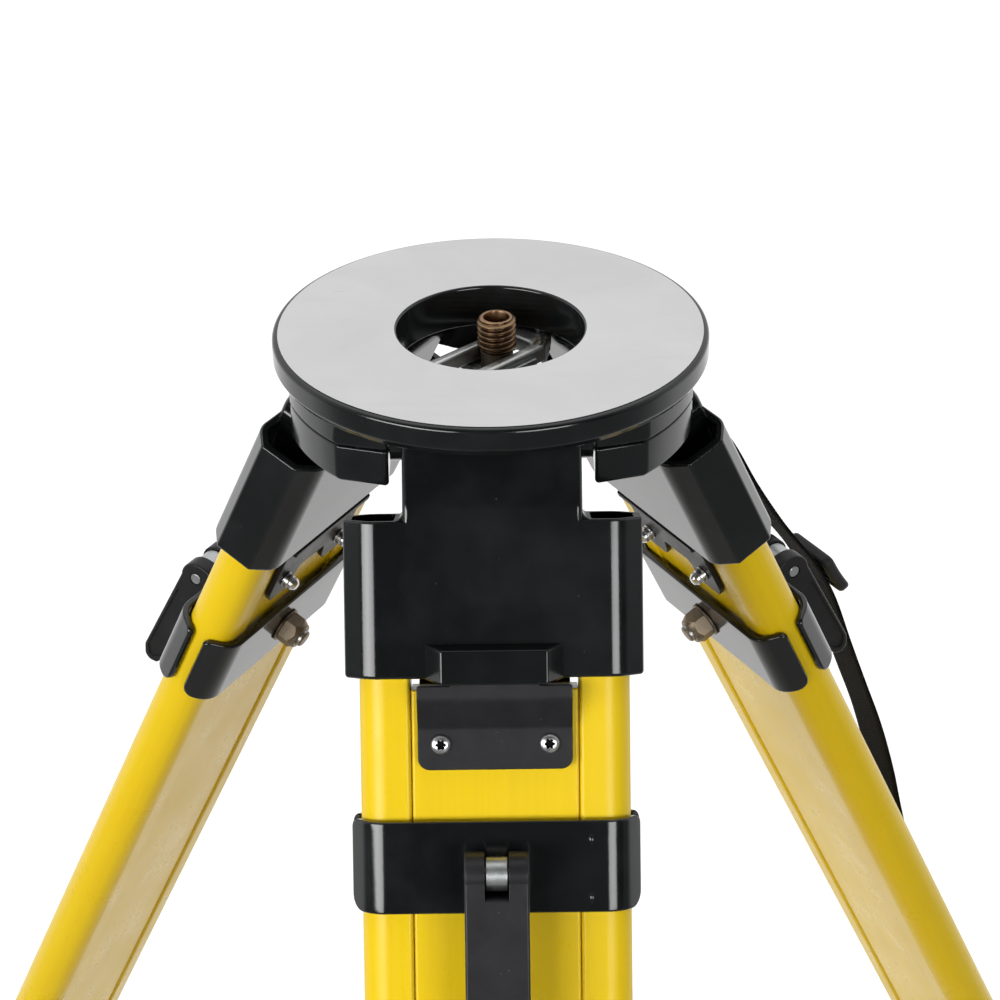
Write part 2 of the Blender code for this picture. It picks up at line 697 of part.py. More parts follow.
# ================================================================ carrying strap on the right leg
def smooth_path(points, per_span):
    """Catmull-Rom curve through the route's own points."""
    out = []
    pts = [Vector(p) for p in points]
    pts = [2 * pts[0] - pts[1]] + pts + [2 * pts[-1] - pts[-2]]
    for a, b, c, d in zip(pts, pts[1:], pts[2:], pts[3:]):
        for k in range(per_span):
            t = k / per_span
            out.append(
                0.5 * ((2 * b) + (c - a) * t + (2 * a - 5 * b + 4 * c - d) * t * t + (3 * b - 3 * c + d - a) * t**3)
            )
    out.append(pts[-2])
    return out


def strap_frames(per_span):
    route = smooth_path(STRAP_PATH, per_span)
    frames = []
    for i, here in enumerate(route):
        ahead = route[min(i + 1, len(route) - 1)]
        behind = route[max(i - 1, 0)]
        run = (ahead - behind).normalized()
        normal = Vector((-run.y, run.x))  # (station, outward) turned a quarter, pointing outward
        frames.append((here, run, normal))
    return frames


right_hinge = bpy.data.objects["right_leg_hinge"]
sections = []
for here, run, normal in strap_frames(2):
    ring = []
    for dx, dn in ((-STRAP_HALF, -1), (STRAP_HALF, -1), (STRAP_HALF, 1), (-STRAP_HALF, 1)):
        point = here + normal * (dn * STRAP_T / 2)
        ring.append((STRAP_X + dx, point.y, z_at(point.x)))
    sections.append(ring)
strap = make("carry_strap", loft(sections), "webbing", right_hinge)

# ladder buckle: a sleeve around the webbing
BUCKLE_S = (203.0, 239.0)
sleeve = []
for scale_x, low, high in ((15.3, -4.6, 6.0),):
    for station in BUCKLE_S:
        near = min(strap_frames(6), key=lambda f: abs(f[0].x - station))
        sleeve.append(
            [
                (STRAP_X + dx, (near[0] + near[2] * dn).y, z_at(station))
                for dx, dn in ((-scale_x, low), (scale_x, low), (scale_x, high), (-scale_x, high))
            ]
        )
buckle = make("strap_buckle", loft(sleeve), "satin_black", right_hinge, smooth=False)
tunnel = []
for station in (196.0, 203.0, 212.0, 221.0, 230.0, 239.0, 246.0):
    near = min(strap_frames(6), key=lambda f: abs(f[0].x - station))
    tunnel.append(
        [
            (STRAP_X + dx, (near[0] + near[2] * dn).y, z_at(station))
            for dx, dn in ((-12.9, -2.0), (12.9, -2.0), (12.9, 2.0), (-12.9, 2.0))
        ]
    )
cut(buckle, loft(tunnel), "tunnel")

# ================================================================ stand the tripod on the floor
bpy.context.view_layer.update()
lows, highs = [math.inf] * 3, [-math.inf] * 3
for obj in bpy.data.objects:
    if obj.type == "MESH" and not obj.hide_render:
        for vertex in obj.data.vertices:
            point = obj.matrix_world @ vertex.co
            for i in range(3):
                lows[i] = min(lows[i], point[i])
                highs[i] = max(highs[i], point[i])
# the foot's step is added by a Boolean, so its helper counts in the outline too
for obj in bpy.data.objects:
    if obj.type == "MESH" and obj.name.startswith("tool_") and obj.name.endswith("_foot_step"):
        for vertex in obj.data.vertices:
            point = obj.matrix_world @ vertex.co
            for i in range(3):
                lows[i] = min(lows[i], point[i])
                highs[i] = max(highs[i], point[i])
root.location = (-(lows[0] + highs[0]) / 2, -(lows[1] + highs[1]) / 2, -lows[2])
bpy.context.view_layer.update()
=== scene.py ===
"""Looks of the surveying tripod: fine meshes, procedural materials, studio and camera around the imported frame."""

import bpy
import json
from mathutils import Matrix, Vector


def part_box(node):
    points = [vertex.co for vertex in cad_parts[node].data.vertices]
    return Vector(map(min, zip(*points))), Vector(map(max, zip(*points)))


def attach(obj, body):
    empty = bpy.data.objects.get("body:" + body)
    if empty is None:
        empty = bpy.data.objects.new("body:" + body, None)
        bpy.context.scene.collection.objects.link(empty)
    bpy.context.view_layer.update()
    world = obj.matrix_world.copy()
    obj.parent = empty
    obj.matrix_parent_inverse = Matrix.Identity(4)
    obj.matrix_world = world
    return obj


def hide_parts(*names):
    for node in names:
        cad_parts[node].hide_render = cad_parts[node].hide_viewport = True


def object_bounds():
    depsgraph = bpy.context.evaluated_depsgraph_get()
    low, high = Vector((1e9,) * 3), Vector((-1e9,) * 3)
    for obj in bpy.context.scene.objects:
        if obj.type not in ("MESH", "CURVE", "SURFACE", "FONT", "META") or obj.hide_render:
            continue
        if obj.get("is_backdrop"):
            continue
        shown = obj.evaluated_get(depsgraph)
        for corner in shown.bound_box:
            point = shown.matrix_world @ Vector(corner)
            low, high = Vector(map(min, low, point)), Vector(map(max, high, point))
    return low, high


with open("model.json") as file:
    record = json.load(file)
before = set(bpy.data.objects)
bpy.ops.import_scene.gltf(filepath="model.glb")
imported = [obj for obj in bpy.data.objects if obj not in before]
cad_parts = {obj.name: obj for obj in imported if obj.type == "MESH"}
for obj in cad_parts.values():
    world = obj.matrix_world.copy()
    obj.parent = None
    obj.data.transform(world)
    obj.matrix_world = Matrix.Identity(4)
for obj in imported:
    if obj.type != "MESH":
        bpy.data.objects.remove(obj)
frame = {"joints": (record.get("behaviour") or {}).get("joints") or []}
CAD_LO, CAD_HI = (tuple(v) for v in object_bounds())

import json
import math

import bmesh
import bpy
import numpy as np
from mathutils import Matrix, Vector

MM = 0.001
SCENE = bpy.context.scene
JOINTS = {j["name"]: j for j in frame["joints"]}

# ---------------------------------------------------------------- the frame's own places
_lo, _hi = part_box("head_casting")
HEAD = Vector(((_lo.x + _hi.x) / 2, (_lo.y + _hi.y) / 2, _hi.z))
LEGS = ("front", "right", "left")
LEAN = math.radians(25.85)
HINGE_DEPTH = 21.75
S_HINGE = HINGE_DEPTH / math.cos(LEAN)


def leg_matrix(leg):
    """Leg frame: x across, y away from the head, z up along the leg, origin on the hinge pin."""
    joint = JOINTS[f"{leg}_leg_spread"]
    x = Vector(joint["axis"]).normalized()
    z = -Vector(JOINTS[f"{leg}_leg_extension"]["axis"]).normalized()
    y = z.cross(x).normalized()
    m = Matrix((x, y, z)).transposed().to_4x4()
    m.translation = Vector(joint["pos_m"])
    return m


LEG_M = {leg: leg_matrix(leg) for leg in LEGS}
CLAMP_S = 183.0  # the clamp shapes are drawn about this station and set down at each leg's own
CLAMP_M = {}
for _leg in LEGS:
    _pin = LEG_M[_leg].inverted() @ Vector(JOINTS[f"{_leg}_clamp_lever_turn"]["pos_m"])
    CLAMP_M[_leg] = LEG_M[_leg] @ Matrix.Translation(Vector((0, 0, _pin.z - (S_HINGE - CLAMP_S) * MM)))
HEAD_M = Matrix.Translation(HEAD)
_arm = Vector(JOINTS["centring_screw_travel"]["axis"]).normalized()
_pivot = Vector(JOINTS["centring_arm_swing"]["pos_m"])
ARM_M = Matrix(((_arm.x, -_arm.y, 0, _pivot.x), (_arm.y, _arm.x, 0, _pivot.y), (0, 0, 1, HEAD.z), (0, 0, 0, 1)))
_axis = Vector(JOINTS["centring_screw_turn"]["pos_m"])
SCREW_M = Matrix.Translation(Vector((_axis.x, _axis.y, HEAD.z)))
SLIDER_M = Matrix(((_arm.x, -_arm.y, 0, _axis.x), (_arm.y, _arm.x, 0, _axis.y), (0, 0, 1, HEAD.z), (0, 0, 0, 1)))


def z_at(station):
    return S_HINGE - station


def polar(radius, degrees):
    a = math.radians(degrees)
    return radius * math.cos(a), radius * math.sin(a)


# ================================================================ camera first
def make_camera():
    turn = 0.0045
    dist, el = 1.09671, 0.4552
    pan, tilt, roll = 0.0029, 0.5178, -0.0133
    fwd = Vector((math.sin(pan) * math.cos(tilt), math.cos(pan) * math.cos(tilt), -math.sin(tilt)))
    right = Vector((math.cos(pan), -math.sin(pan), 0.0))
    up = right.cross(fwd)
    r2 = math.cos(roll) * right + math.sin(roll) * up
    u2 = -math.sin(roll) * right + math.cos(roll) * up
    spin = Matrix.Rotation(turn, 4, "Z")
    pose = Matrix((r2, u2, -fwd)).transposed().to_4x4()
    pose.translation = Vector((0.0, -dist * math.cos(el), dist * math.sin(el)))
    data = bpy.data.cameras.new("camera")
    data.sensor_width = 36.0
    data.lens = 99.83
    data.clip_start, data.clip_end = 0.05, 60.0
    cam = bpy.data.objects.new("camera", data)
    SCENE.collection.objects.link(cam)
    cam.matrix_world = HEAD_M @ spin @ pose
    SCENE.camera = cam


make_camera()


# ================================================================ materials
class Nodes:
    """Small wrapper that builds a node tree."""

    def __init__(self, name):
        self.mat = bpy.data.materials.new(name)
        self.mat.use_nodes = True
        self.tree = self.mat.node_tree
        self.tree.nodes.clear()
        self.out = self.tree.nodes.new("ShaderNodeOutputMaterial")
        self.bsdf = self.tree.nodes.new("ShaderNodeBsdfPrincipled")
        self.link(self.bsdf.outputs[0], self.out.inputs[0])
        self.coord = self.tree.nodes.new("ShaderNodeTexCoord")

    def link(self, a, b):
        self.tree.links.new(a, b)

    def new(self, kind, **props):
        node = self.tree.nodes.new(kind)
        for key, value in props.items():
            setattr(node, key, value)
        return node

    def mapped(self, scale=(1, 1, 1), offset=(0, 0, 0)):
        node = self.new("ShaderNodeMapping")
        node.inputs["Scale"].default_value = scale
        node.inputs["Location"].default_value = offset
        self.link(self.coord.outputs["Object"], node.inputs["Vector"])
        return node.outputs[0]

    def noise(self, scale, detail=4.0, rough=0.55, vector=None, distortion=0.0):
        node = self.new("ShaderNodeTexNoise")
        node.inputs["Scale"].default_value = scale
        node.inputs["Detail"].default_value = detail
        node.inputs["Roughness"].default_value = rough
        node.inputs["Distortion"].default_value = distortion
        self.link(vector if vector is not None else self.coord.outputs["Object"], node.inputs["Vector"])
        return node.outputs["Fac"]

    def voronoi(self, scale, feature="F1", vector=None, randomness=1.0):
        node = self.new("ShaderNodeTexVoronoi", feature=feature)
        node.inputs["Scale"].default_value = scale
        node.inputs["Randomness"].default_value = randomness
        self.link(vector if vector is not None else self.coord.outputs["Object"], node.inputs["Vector"])
        return node

    def wave(self, scale, direction="Z", distortion=0.0, vector=None, kind="BANDS", profile="SIN", detail=0.0):
        node = self.new("ShaderNodeTexWave", wave_type=kind, wave_profile=profile)
        if kind == "BANDS":
            node.bands_direction = direction
        else:
            node.rings_direction = direction
        node.inputs["Scale"].default_value = scale
        node.inputs["Distortion"].default_value = distortion
        node.inputs["Detail"].default_value = detail
        self.link(vector if vector is not None else self.coord.outputs["Object"], node.inputs["Vector"])
        return node.outputs["Fac"]

    def ramp(self, value, stops, interpolation="LINEAR"):
        node = self.new("ShaderNodeValToRGB")
        node.color_ramp.interpolation = interpolation
        while len(node.color_ramp.elements) > 1:
            node.color_ramp.elements.remove(node.color_ramp.elements[-1])
        first = True
        for pos, col in stops:
            if not isinstance(col, (tuple, list)):
                col = (col, col, col)
            if first:
                element = node.color_ramp.elements[0]
                element.position = pos
                first = False
            else:
                element = node.color_ramp.elements.new(pos)
            element.color = (*col, 1.0)
        self.link(value, node.inputs[0])
        return node.outputs[0]

    def remap(self, value, a, b, c, d, clamp=True):
        node = self.new("ShaderNodeMapRange")
        node.clamp = clamp
        for i, v in zip((1, 2, 3, 4), (a, b, c, d)):
            node.inputs[i].default_value = v
        self.link(value, node.inputs[0])
        return node.outputs[0]

    def maths(self, op, a, b=None):
        node = self.new("ShaderNodeMath", operation=op)
        for i, v in enumerate((a, b)):
            if v is None:
                continue
            if isinstance(v, (int, float)):
                node.inputs[i].default_value = v
            else:
                self.link(v, node.inputs[i])
        return node.outputs[0]

    def mix(self, fac, a, b, blend="MIX"):
        node = self.new("ShaderNodeMix", data_type="RGBA", blend_type=blend)
        if isinstance(fac, (int, float)):
            node.inputs[0].default_value = fac
        else:
            self.link(fac, node.inputs[0])
        for i, v in ((6, a), (7, b)):
            if isinstance(v, (tuple, list)):
                node.inputs[i].default_value = (*v, 1.0)
            else:
                self.link(v, node.inputs[i])
        return node.outputs[2]

    def bump(self, height, strength, distance, normal=None):
        node = self.new("ShaderNodeBump")
        node.inputs["Strength"].default_value = strength
        node.inputs["Distance"].default_value = distance
        self.link(height, node.inputs["Height"])
        if normal is not None:
            self.link(normal, node.inputs["Normal"])
        return node.outputs[0]

    def pointiness(self):
        return self.new("ShaderNodeNewGeometry").outputs["Pointiness"]

    def part(self, axis):
        node = self.new("ShaderNodeSeparateXYZ")
        self.link(self.coord.outputs["Object"], node.inputs[0])
        return node.outputs["XYZ".index(axis)]

    def set(self, **sockets):
        for key, value in sockets.items():
            name = key.replace("_", " ")
            socket = self.bsdf.inputs[name]
            if isinstance(value, (int, float)):
                socket.default_value = value
            elif isinstance(value, tuple):
                socket.default_value = (*value, 1.0)
            else:
                self.link(value, socket)
        return self


def black_paint(name, base=(0.0062, 0.0072, 0.0076), rough=(0.10, 0.18), ior=1.52, peel=0.00003, specks=0.35):
    """Stove-enamelled casting: orange peel, faint dust and a few pin specks."""
    n = Nodes(name)
    dust = n.noise(38.0, 5.0, 0.6)
    tint = n.mix(n.remap(dust, 0.45, 0.75, 0.0, 1.0), base, tuple(c * 1.9 + 0.001 for c in base))
    cells = n.voronoi(260.0)
    gate = n.remap(n.noise(55.0, 2.0), 0.60, 0.64, 0.0, specks)
    speck = n.maths("MULTIPLY", n.remap(cells.outputs["Distance"], 0.05, 0.10, 1.0, 0.0), gate)
    col = n.mix(speck, tint, (0.10, 0.10, 0.105))
    r = n.remap(n.noise(24.0, 6.0, 0.65), 0.3, 0.7, rough[0], rough[1])
    r = n.maths("ADD", r, n.maths("MULTIPLY", speck, 0.4))
    fine = n.bump(n.noise(650.0, 2.0, 0.5), 0.35, peel)
    soft = n.bump(n.noise(120.0, 2.0, 0.5), 0.30, peel * 3.0, fine)
    n.set(Base_Color=col, Roughness=r, IOR=ior, Normal=soft)
    return n.mat


def satin_black(name, base=(0.0118, 0.0118, 0.0134), rough=(0.36, 0.50), grain=900.0, depth=0.00003):
    """Powder-coated sheet or moulded lever: fine grain and dust."""
    n = Nodes(name)
    mottled = n.mix(n.remap(n.noise(70.0, 6.0, 0.7), 0.35, 0.7, 0.0, 1.0), base, tuple(c * 1.6 for c in base))
    cells = n.voronoi(420.0)
    gate = n.remap(n.noise(90.0, 2.0), 0.56, 0.62, 0.0, 0.45)
    speck = n.maths("MULTIPLY", n.remap(cells.outputs["Distance"], 0.06, 0.14, 1.0, 0.0), gate)
    col = n.mix(speck, mottled, (0.16, 0.16, 0.165))
    r = n.remap(n.noise(45.0, 5.0, 0.6), 0.3, 0.7, rough[0], rough[1])
    normal = n.bump(n.noise(grain, 3.0, 0.6), 0.5, depth)
    n.set(Base_Color=col, Roughness=r, IOR=1.45, Normal=normal)
    n.bsdf.inputs["Specular IOR Level"].default_value = 0.32
    return n.mat


def yellow_fibreglass(name):
    """Pigmented fibreglass: long faint fibres along the leg, slight mottling, handling marks, soft gloss."""
    n = Nodes(name)
    fibre_v = n.mapped((420.0, 420.0, 9.0))
    fibres = n.noise(1.0, 5.0, 0.6, fibre_v)
    streak_v = n.mapped((90.0, 90.0, 2.4))
    streaks = n.noise(1.0, 3.0, 0.5, streak_v)
    cloud = n.noise(9.0, 4.0, 0.6)
    col = n.mix(n.remap(fibres, 0.35, 0.68, 0.0, 1.0), (0.865, 0.600, 0.0065), (0.835, 0.565, 0.0055))
    col = n.mix(n.remap(streaks, 0.42, 0.72, 0.0, 0.55), col, (0.80, 0.525, 0.008))
    col = n.mix(n.remap(cloud, 0.40, 0.70, 0.0, 0.45), col, (0.88, 0.625, 0.016))
    # small dark handling marks and scratches running along the leg
    marks_v = n.mapped((260.0, 260.0, 45.0))
    marks = n.noise(1.0, 2.0, 0.5, marks_v)
    gate = n.remap(n.noise(22.0, 2.0), 0.60, 0.68, 0.0, 1.0)
    mark = n.maths("MULTIPLY", n.remap(marks, 0.70, 0.76, 0.0, 0.55), gate)
    col = n.mix(mark, col, (0.34, 0.20, 0.012))
    dots = n.voronoi(150.0)
    dot_gate = n.remap(n.noise(60.0, 1.0), 0.66, 0.68, 0.0, 0.5)
    dot = n.maths("MULTIPLY", n.remap(dots.outputs["Distance"], 0.04, 0.10, 1.0, 0.0), dot_gate)
    col = n.mix(dot, col, (0.22, 0.14, 0.02))
    r = n.remap(n.noise(30.0, 5.0, 0.65), 0.3, 0.7, 0.24, 0.36)
    a = n.bump(fibres, 0.30, 0.00005)
    b = n.bump(streaks, 0.22, 0.00012, a)
    n.set(Base_Color=col, Roughness=r, IOR=1.42, Normal=b)
    n.bsdf.inputs["Specular IOR Level"].default_value = 0.32
    return n.mat


def machined(name):
    """Faced aluminium: very fine turning rings, faint stains, satin."""
    n = Nodes(name)
    stains = n.noise(16.0, 5.0, 0.62, n.mapped((1.0, 1.0, 1.0), (0.4, 0.1, 0.0)), 0.6)
    col = n.mix(n.remap(stains, 0.34, 0.72, 0.0, 1.0), (0.735, 0.735, 0.742), (0.680, 0.678, 0.682))
    smear = n.noise(1.0, 4.0, 0.6, n.mapped((16.0, 90.0, 1.0)))
    col = n.mix(n.remap(smear, 0.55, 0.80, 0.0, 0.35), col, (0.63, 0.625, 0.62))
    scuffs = n.noise(1.0, 2.0, 0.5, n.mapped((60.0, 900.0, 1.0), (3.0, 1.0, 0.0)))
    gate = n.remap(n.noise(14.0, 2.0), 0.55, 0.62, 0.0, 1.0)
    col = n.mix(n.maths("MULTIPLY", n.remap(scuffs, 0.70, 0.76, 0.0, 0.5), gate), col, (0.52, 0.51, 0.50))
    rings = n.wave(480.0, "Z", 0.4, None, "RINGS", "SIN", 2.0)
    r = n.remap(n.noise(30.0, 5.0, 0.6), 0.3, 0.7, 0.34, 0.46)
    normal = n.bump(rings, 0.12, 0.00001)
    n.set(Base_Color=col, Roughness=r, Metallic=1.0, Normal=normal)
    n.bsdf.inputs["Anisotropic"].default_value = 0.0
    return n.mat


def cast_metal(name, light=(0.74, 0.75, 0.74), dark=(0.58, 0.59, 0.58), rough=(0.36, 0.52), grain=260.0, depth=0.00010):
    n = Nodes(name)
    blot = n.noise(grain * 0.5, 6.0, 0.65)
    col = n.mix(n.remap(blot, 0.35, 0.65, 0.0, 1.0), dark, light)
    r = n.remap(n.noise(grain, 4.0, 0.6), 0.3, 0.7, rough[0], rough[1])
    normal = n.bump(n.noise(grain * 1.6, 5.0, 0.65), 0.5, depth)
    n.set(Base_Color=col, Roughness=r, Metallic=1.0, Normal=normal)
    return n.mat


def bronze(name, light=(0.400, 0.255, 0.145), dark=(0.120, 0.070, 0.038)):
    """Oiled bronze: bright on the crests, brown in the grooves."""
    n = Nodes(name)
    groove = n.remap(n.pointiness(), 0.44, 0.56, 0.0, 1.0)
    blot = n.remap(n.noise(170.0, 5.0, 0.65), 0.3, 0.7, 0.0, 1.0)
    col = n.mix(n.maths("MULTIPLY", groove, n.remap(blot, 0.0, 1.0, 0.75, 1.0)), dark, light)
    col = n.mix(n.remap(n.noise(420.0, 3.0), 0.55, 0.75, 0.0, 0.35), col, (0.50, 0.34, 0.20))
    r = n.remap(blot, 0.0, 1.0, 0.22, 0.40)
    normal = n.bump(n.noise(900.0, 3.0, 0.6), 0.35, 0.00004)
    n.set(Base_Color=col, Roughness=r, Metallic=1.0, Normal=normal)
    return n.mat


def olive_nut(name):
    """Olive passivated steel: matt, mottled, a little grime."""
    n = Nodes(name)
    blot = n.remap(n.noise(260.0, 5.0, 0.65), 0.3, 0.7, 0.0, 1.0)
    col = n.mix(blot, (0.200, 0.155, 0.105), (0.300, 0.245, 0.180))
    col = n.mix(n.remap(n.noise(700.0, 3.0, 0.6), 0.58, 0.72, 0.0, 0.7), col, (0.09, 0.07, 0.05))
    n.set(Base_Color=col, Roughness=n.remap(blot, 0.0, 1.0, 0.38, 0.55), Metallic=0.75, Normal=n.bump(n.noise(900.0, 3.0, 0.6), 0.4, 0.00005))
    return n.mat


def plated(name, tint=(0.62, 0.62, 0.63), rough=(0.18, 0.30), dirt_and_shade_tint=(0.28, 0.26, 0.23)):
    n = Nodes(name)
    blot = n.noise(210.0, 5.0, 0.65)
    col = n.mix(n.remap(blot, 0.50, 0.78, 0.0, 0.7), tint, dirt_and_shade_tint)
    # painted shade: concave recesses are darkened towards a quarter of this tint; the blotches above are real dirt
    groove = n.remap(n.pointiness(), 0.40, 0.50, 1.0, 0.0)
    col = n.mix(n.maths("MULTIPLY", groove, 0.8), col, tuple(c * 0.25 for c in dirt_and_shade_tint))
    r = n.remap(n.noise(330.0, 4.0), 0.3, 0.7, rough[0], rough[1])
    normal = n.bump(n.noise(700.0, 3.0, 0.6), 0.25, 0.00004)
    n.set(Base_Color=col, Roughness=r, Metallic=1.0, Normal=normal)
    return n.mat


def foot_finish(name):
    """Black enamel worn to grey metal towards the point."""
    n = Nodes(name)
    height = n.part("Z")
    worn = n.remap(height, z_at(1022) * MM * 0.9, z_at(1045) * MM * 0.9, 0.0, 1.0)
    ragged = n.maths("ADD", worn, n.remap(n.noise(160.0, 5.0, 0.7), 0.3, 0.7, -0.55, 0.35))
    worn = n.remap(ragged, 0.15, 0.55, 0.0, 1.0)
    chips = n.maths("MULTIPLY", n.remap(n.pointiness(), 0.54, 0.60, 0.0, 1.0), n.remap(n.noise(220.0, 4.0), 0.46, 0.58, 0.0, 1.0))
    worn = n.maths("MAXIMUM", worn, chips)
    paint = n.mix(n.remap(n.noise(40.0, 5.0), 0.45, 0.75, 0.0, 1.0), (0.008, 0.0085, 0.009), (0.017, 0.017, 0.017))
    metal = n.mix(n.remap(n.noise(300.0, 5.0, 0.7), 0.35, 0.65, 0.0, 1.0), (0.20, 0.19, 0.18), (0.42, 0.41, 0.40))
    r = n.maths("ADD", n.remap(worn, 0.0, 1.0, 0.20, 0.46), n.remap(n.noise(60.0, 4.0), 0.3, 0.7, -0.05, 0.06))
    normal = n.bump(n.noise(320.0, 5.0, 0.7), 0.5, 0.00012)
    n.set(Base_Color=n.mix(worn, paint, metal), Roughness=r, Metallic=worn, IOR=1.45, Normal=normal)
    return n.mat


def webbing(name):
    """Woven polyester strap; the yarns follow the strap's own length in the attribute 'weave'."""
    n = Nodes(name)
    attr = n.new("ShaderNodeAttribute", attribute_name="weave")
    sep = n.new("ShaderNodeSeparateXYZ")
    n.link(attr.outputs["Vector"], sep.inputs[0])
    along, across = sep.outputs[0], sep.outputs[1]
    # herringbone: diagonal ribs that turn at each column
    column = n.maths("PINGPONG", across, 3.1)
    diag = n.maths("ADD", n.maths("MULTIPLY", along, 2.9), n.maths("MULTIPLY", column, 2.0))
    rib = n.maths("ADD", n.maths("MULTIPLY", n.maths("SINE", diag), 0.5), 0.5)
    warp = n.maths("ADD", n.maths("MULTIPLY", n.maths("SINE", n.maths("MULTIPLY", across, 7.2)), 0.5), 0.5)
    height = n.maths("ADD", n.maths("MULTIPLY", rib, 0.7), n.maths("MULTIPLY", warp, 0.3))
    fuzz = n.noise(1500.0, 4.0, 0.7)
    col = n.mix(height, (0.0015, 0.0015, 0.0018), (0.0060, 0.0060, 0.0065))
    col = n.mix(n.remap(n.noise(24.0, 4.0), 0.45, 0.75, 0.0, 0.4), col, (0.0070, 0.0068, 0.0068))
    col = n.mix(n.remap(fuzz, 0.55, 0.8, 0.0, 0.3), col, (0.012, 0.012, 0.0125))
    r = n.remap(fuzz, 0.3, 0.7, 0.70, 0.92)
    normal = n.bump(height, 0.7, 0.00035, n.bump(fuzz, 0.3, 0.0001))
    n.set(Base_Color=col, Roughness=r, Normal=normal)
    n.bsdf.inputs["Specular IOR Level"].default_value = 0.12
    n.bsdf.inputs["Sheen Weight"].default_value = 0.0
    n.bsdf.inputs["Sheen Roughness"].default_value = 0.45
    return n.mat


def thread_yarn(name):
    n = Nodes(name)
    twist = n.wave(900.0, "DIAGONAL", 1.0)
    col = n.mix(twist, (0.02, 0.02, 0.021), (0.06, 0.06, 0.062))
    n.set(Base_Color=col, Roughness=n.remap(n.noise(1200.0, 2.0), 0.3, 0.7, 0.6, 0.85), Normal=n.bump(twist, 0.5, 0.0001))
    return n.mat


def floor_glow_and_shade(name):
    n = Nodes(name)
    grain = n.noise(3.0, 6.0, 0.6)
    # painted light: the floor glows, more strongly towards the back and again far off, so it reads as lit white
    painted_glow_back = n.remap(n.part("Y"), -0.05, 0.75, 0.0, 0.56)
    painted_glow_far = n.remap(n.part("Y"), 1.2, 3.2, 0.0, 0.24)
    # painted shade: the floor's colour is darkened towards the front, where it falls off into shade
    painted_front_shade = n.remap(n.part("Y"), -0.4, 0.7, 0.42, 1.0)
    pale = n.mix(grain, (0.78, 0.78, 0.78), (0.81, 0.81, 0.81))
    pale = n.mix(painted_front_shade, (0.0, 0.0, 0.0), pale)
    n.set(Base_Color=pale, Roughness=n.remap(n.noise(9.0, 3.0), 0.3, 0.7, 0.75, 0.85), Emission_Strength=n.maths("ADD", painted_glow_back, painted_glow_far))
    n.bsdf.inputs["Emission Color"].default_value = (1.0, 1.0, 1.0, 1.0)
    n.bsdf.inputs["Specular IOR Level"].default_value = 0.1
    return n.mat


MAT = {
    "black": black_paint("black_enamel"),
    "satin": satin_black("black_powder_coat"),
    "lever": satin_black("black_lever", (0.0128, 0.0128, 0.0145), (0.30, 0.46), 700.0, 0.00005),
    "yellow": yellow_fibreglass("yellow_fibreglass"),
    "machined": machined("machined_aluminium"),
    "cast": cast_metal("bare_cast_aluminium"),
    "rough_cast": cast_metal("rough_cast_aluminium", (0.46, 0.42, 0.35), (0.16, 0.14, 0.11), (0.5, 0.75), 420.0, 0.0006),
    "bronze": bronze("bronze_screw"),
    "bronze_dark": olive_nut("dark_bronze"),
    "steel": plated("zinc_steel", (0.54, 0.56, 0.56), (0.34, 0.46)),
    "chrome": plated("bright_screws", (0.76, 0.76, 0.77), (0.24, 0.36), (0.32, 0.31, 0.29)),
    "plastic": satin_black("black_plastic", (0.019, 0.019, 0.020), (0.42, 0.56), 1300.0, 0.00006),
    "webbing": webbing("black_webbing"),
    "yarn": thread_yarn("stitching"),
    "foot": foot_finish("foot_casting"),
}


# ================================================================ shape helpers (millimetres in, metres out)
def to_axis(axis, u, v, w):
    if axis == "z":
        return Vector((u, v, w))
    if axis == "x":
        return Vector((w, u, v))
    return Vector((u, w, v))


def rounded(corners, steps=8):
    """Outline whose corners (x, y, radius) are replaced by tangent arcs."""
    points = []
    count = len(corners)
    for i in range(count):
        x, y, radius = corners[i]
        here = Vector((x, y))
        if radius <= 0:
            points.append((x, y))
            continue
        before = (Vector(corners[i - 1][:2]) - here).normalized()
        after = (Vector(corners[(i + 1) % count][:2]) - here).normalized()
        half = before.angle(after) / 2
        if half > math.radians(89.5):
            points.append((x, y))
            continue
        reach = radius / math.tan(half)
        centre = here + (before + after).normalized() * (radius / math.sin(half))
        start = here + before * reach - centre
        end = here + after * reach - centre
        sweep = start.angle_signed(end)
        n = max(2, int(steps * abs(sweep) / (math.pi / 2)) + 1)
        for k in range(n + 1):
            a = -sweep * k / n
            c, s = math.cos(a), math.sin(a)
            points.append((centre.x + c * start.x - s * start.y, centre.y + s * start.x + c * start.y))
    return points


def circle(radius, sides, centre=(0.0, 0.0), start=0.0):
    return [(centre[0] + radius * math.cos(start + 2 * math.pi * k / sides), centre[1] + radius * math.sin(start + 2 * math.pi * k / sides)) for k in range(sides)]


def area(outline):
    return 0.5 * sum(a[0] * b[1] - b[0] * a[1] for a, b in zip(outline, outline[1:] + outline[:1]))


def inset(outline, d):
    """Moves each point of a counter-clockwise outline inwards by d (outwards for a negative d)."""
    out = []
    count = len(outline)
    for i in range(count):
        p, q, r = (Vector(outline[(i + k) % count]) for k in (-1, 0, 1))
        e1, e2 = (q - p), (r - q)
        if e1.length < 1e-9:
            e1 = e2
        if e2.length < 1e-9:
            e2 = e1
        e1, e2 = e1.normalized(), e2.normalized()
        n1, n2 = Vector((-e1.y, e1.x)), Vector((-e2.y, e2.x))
        m = n1 + n2
        k = d / max(0.35, 1 + n1.dot(n2))
        out.append(tuple(q + m * k))
    return out


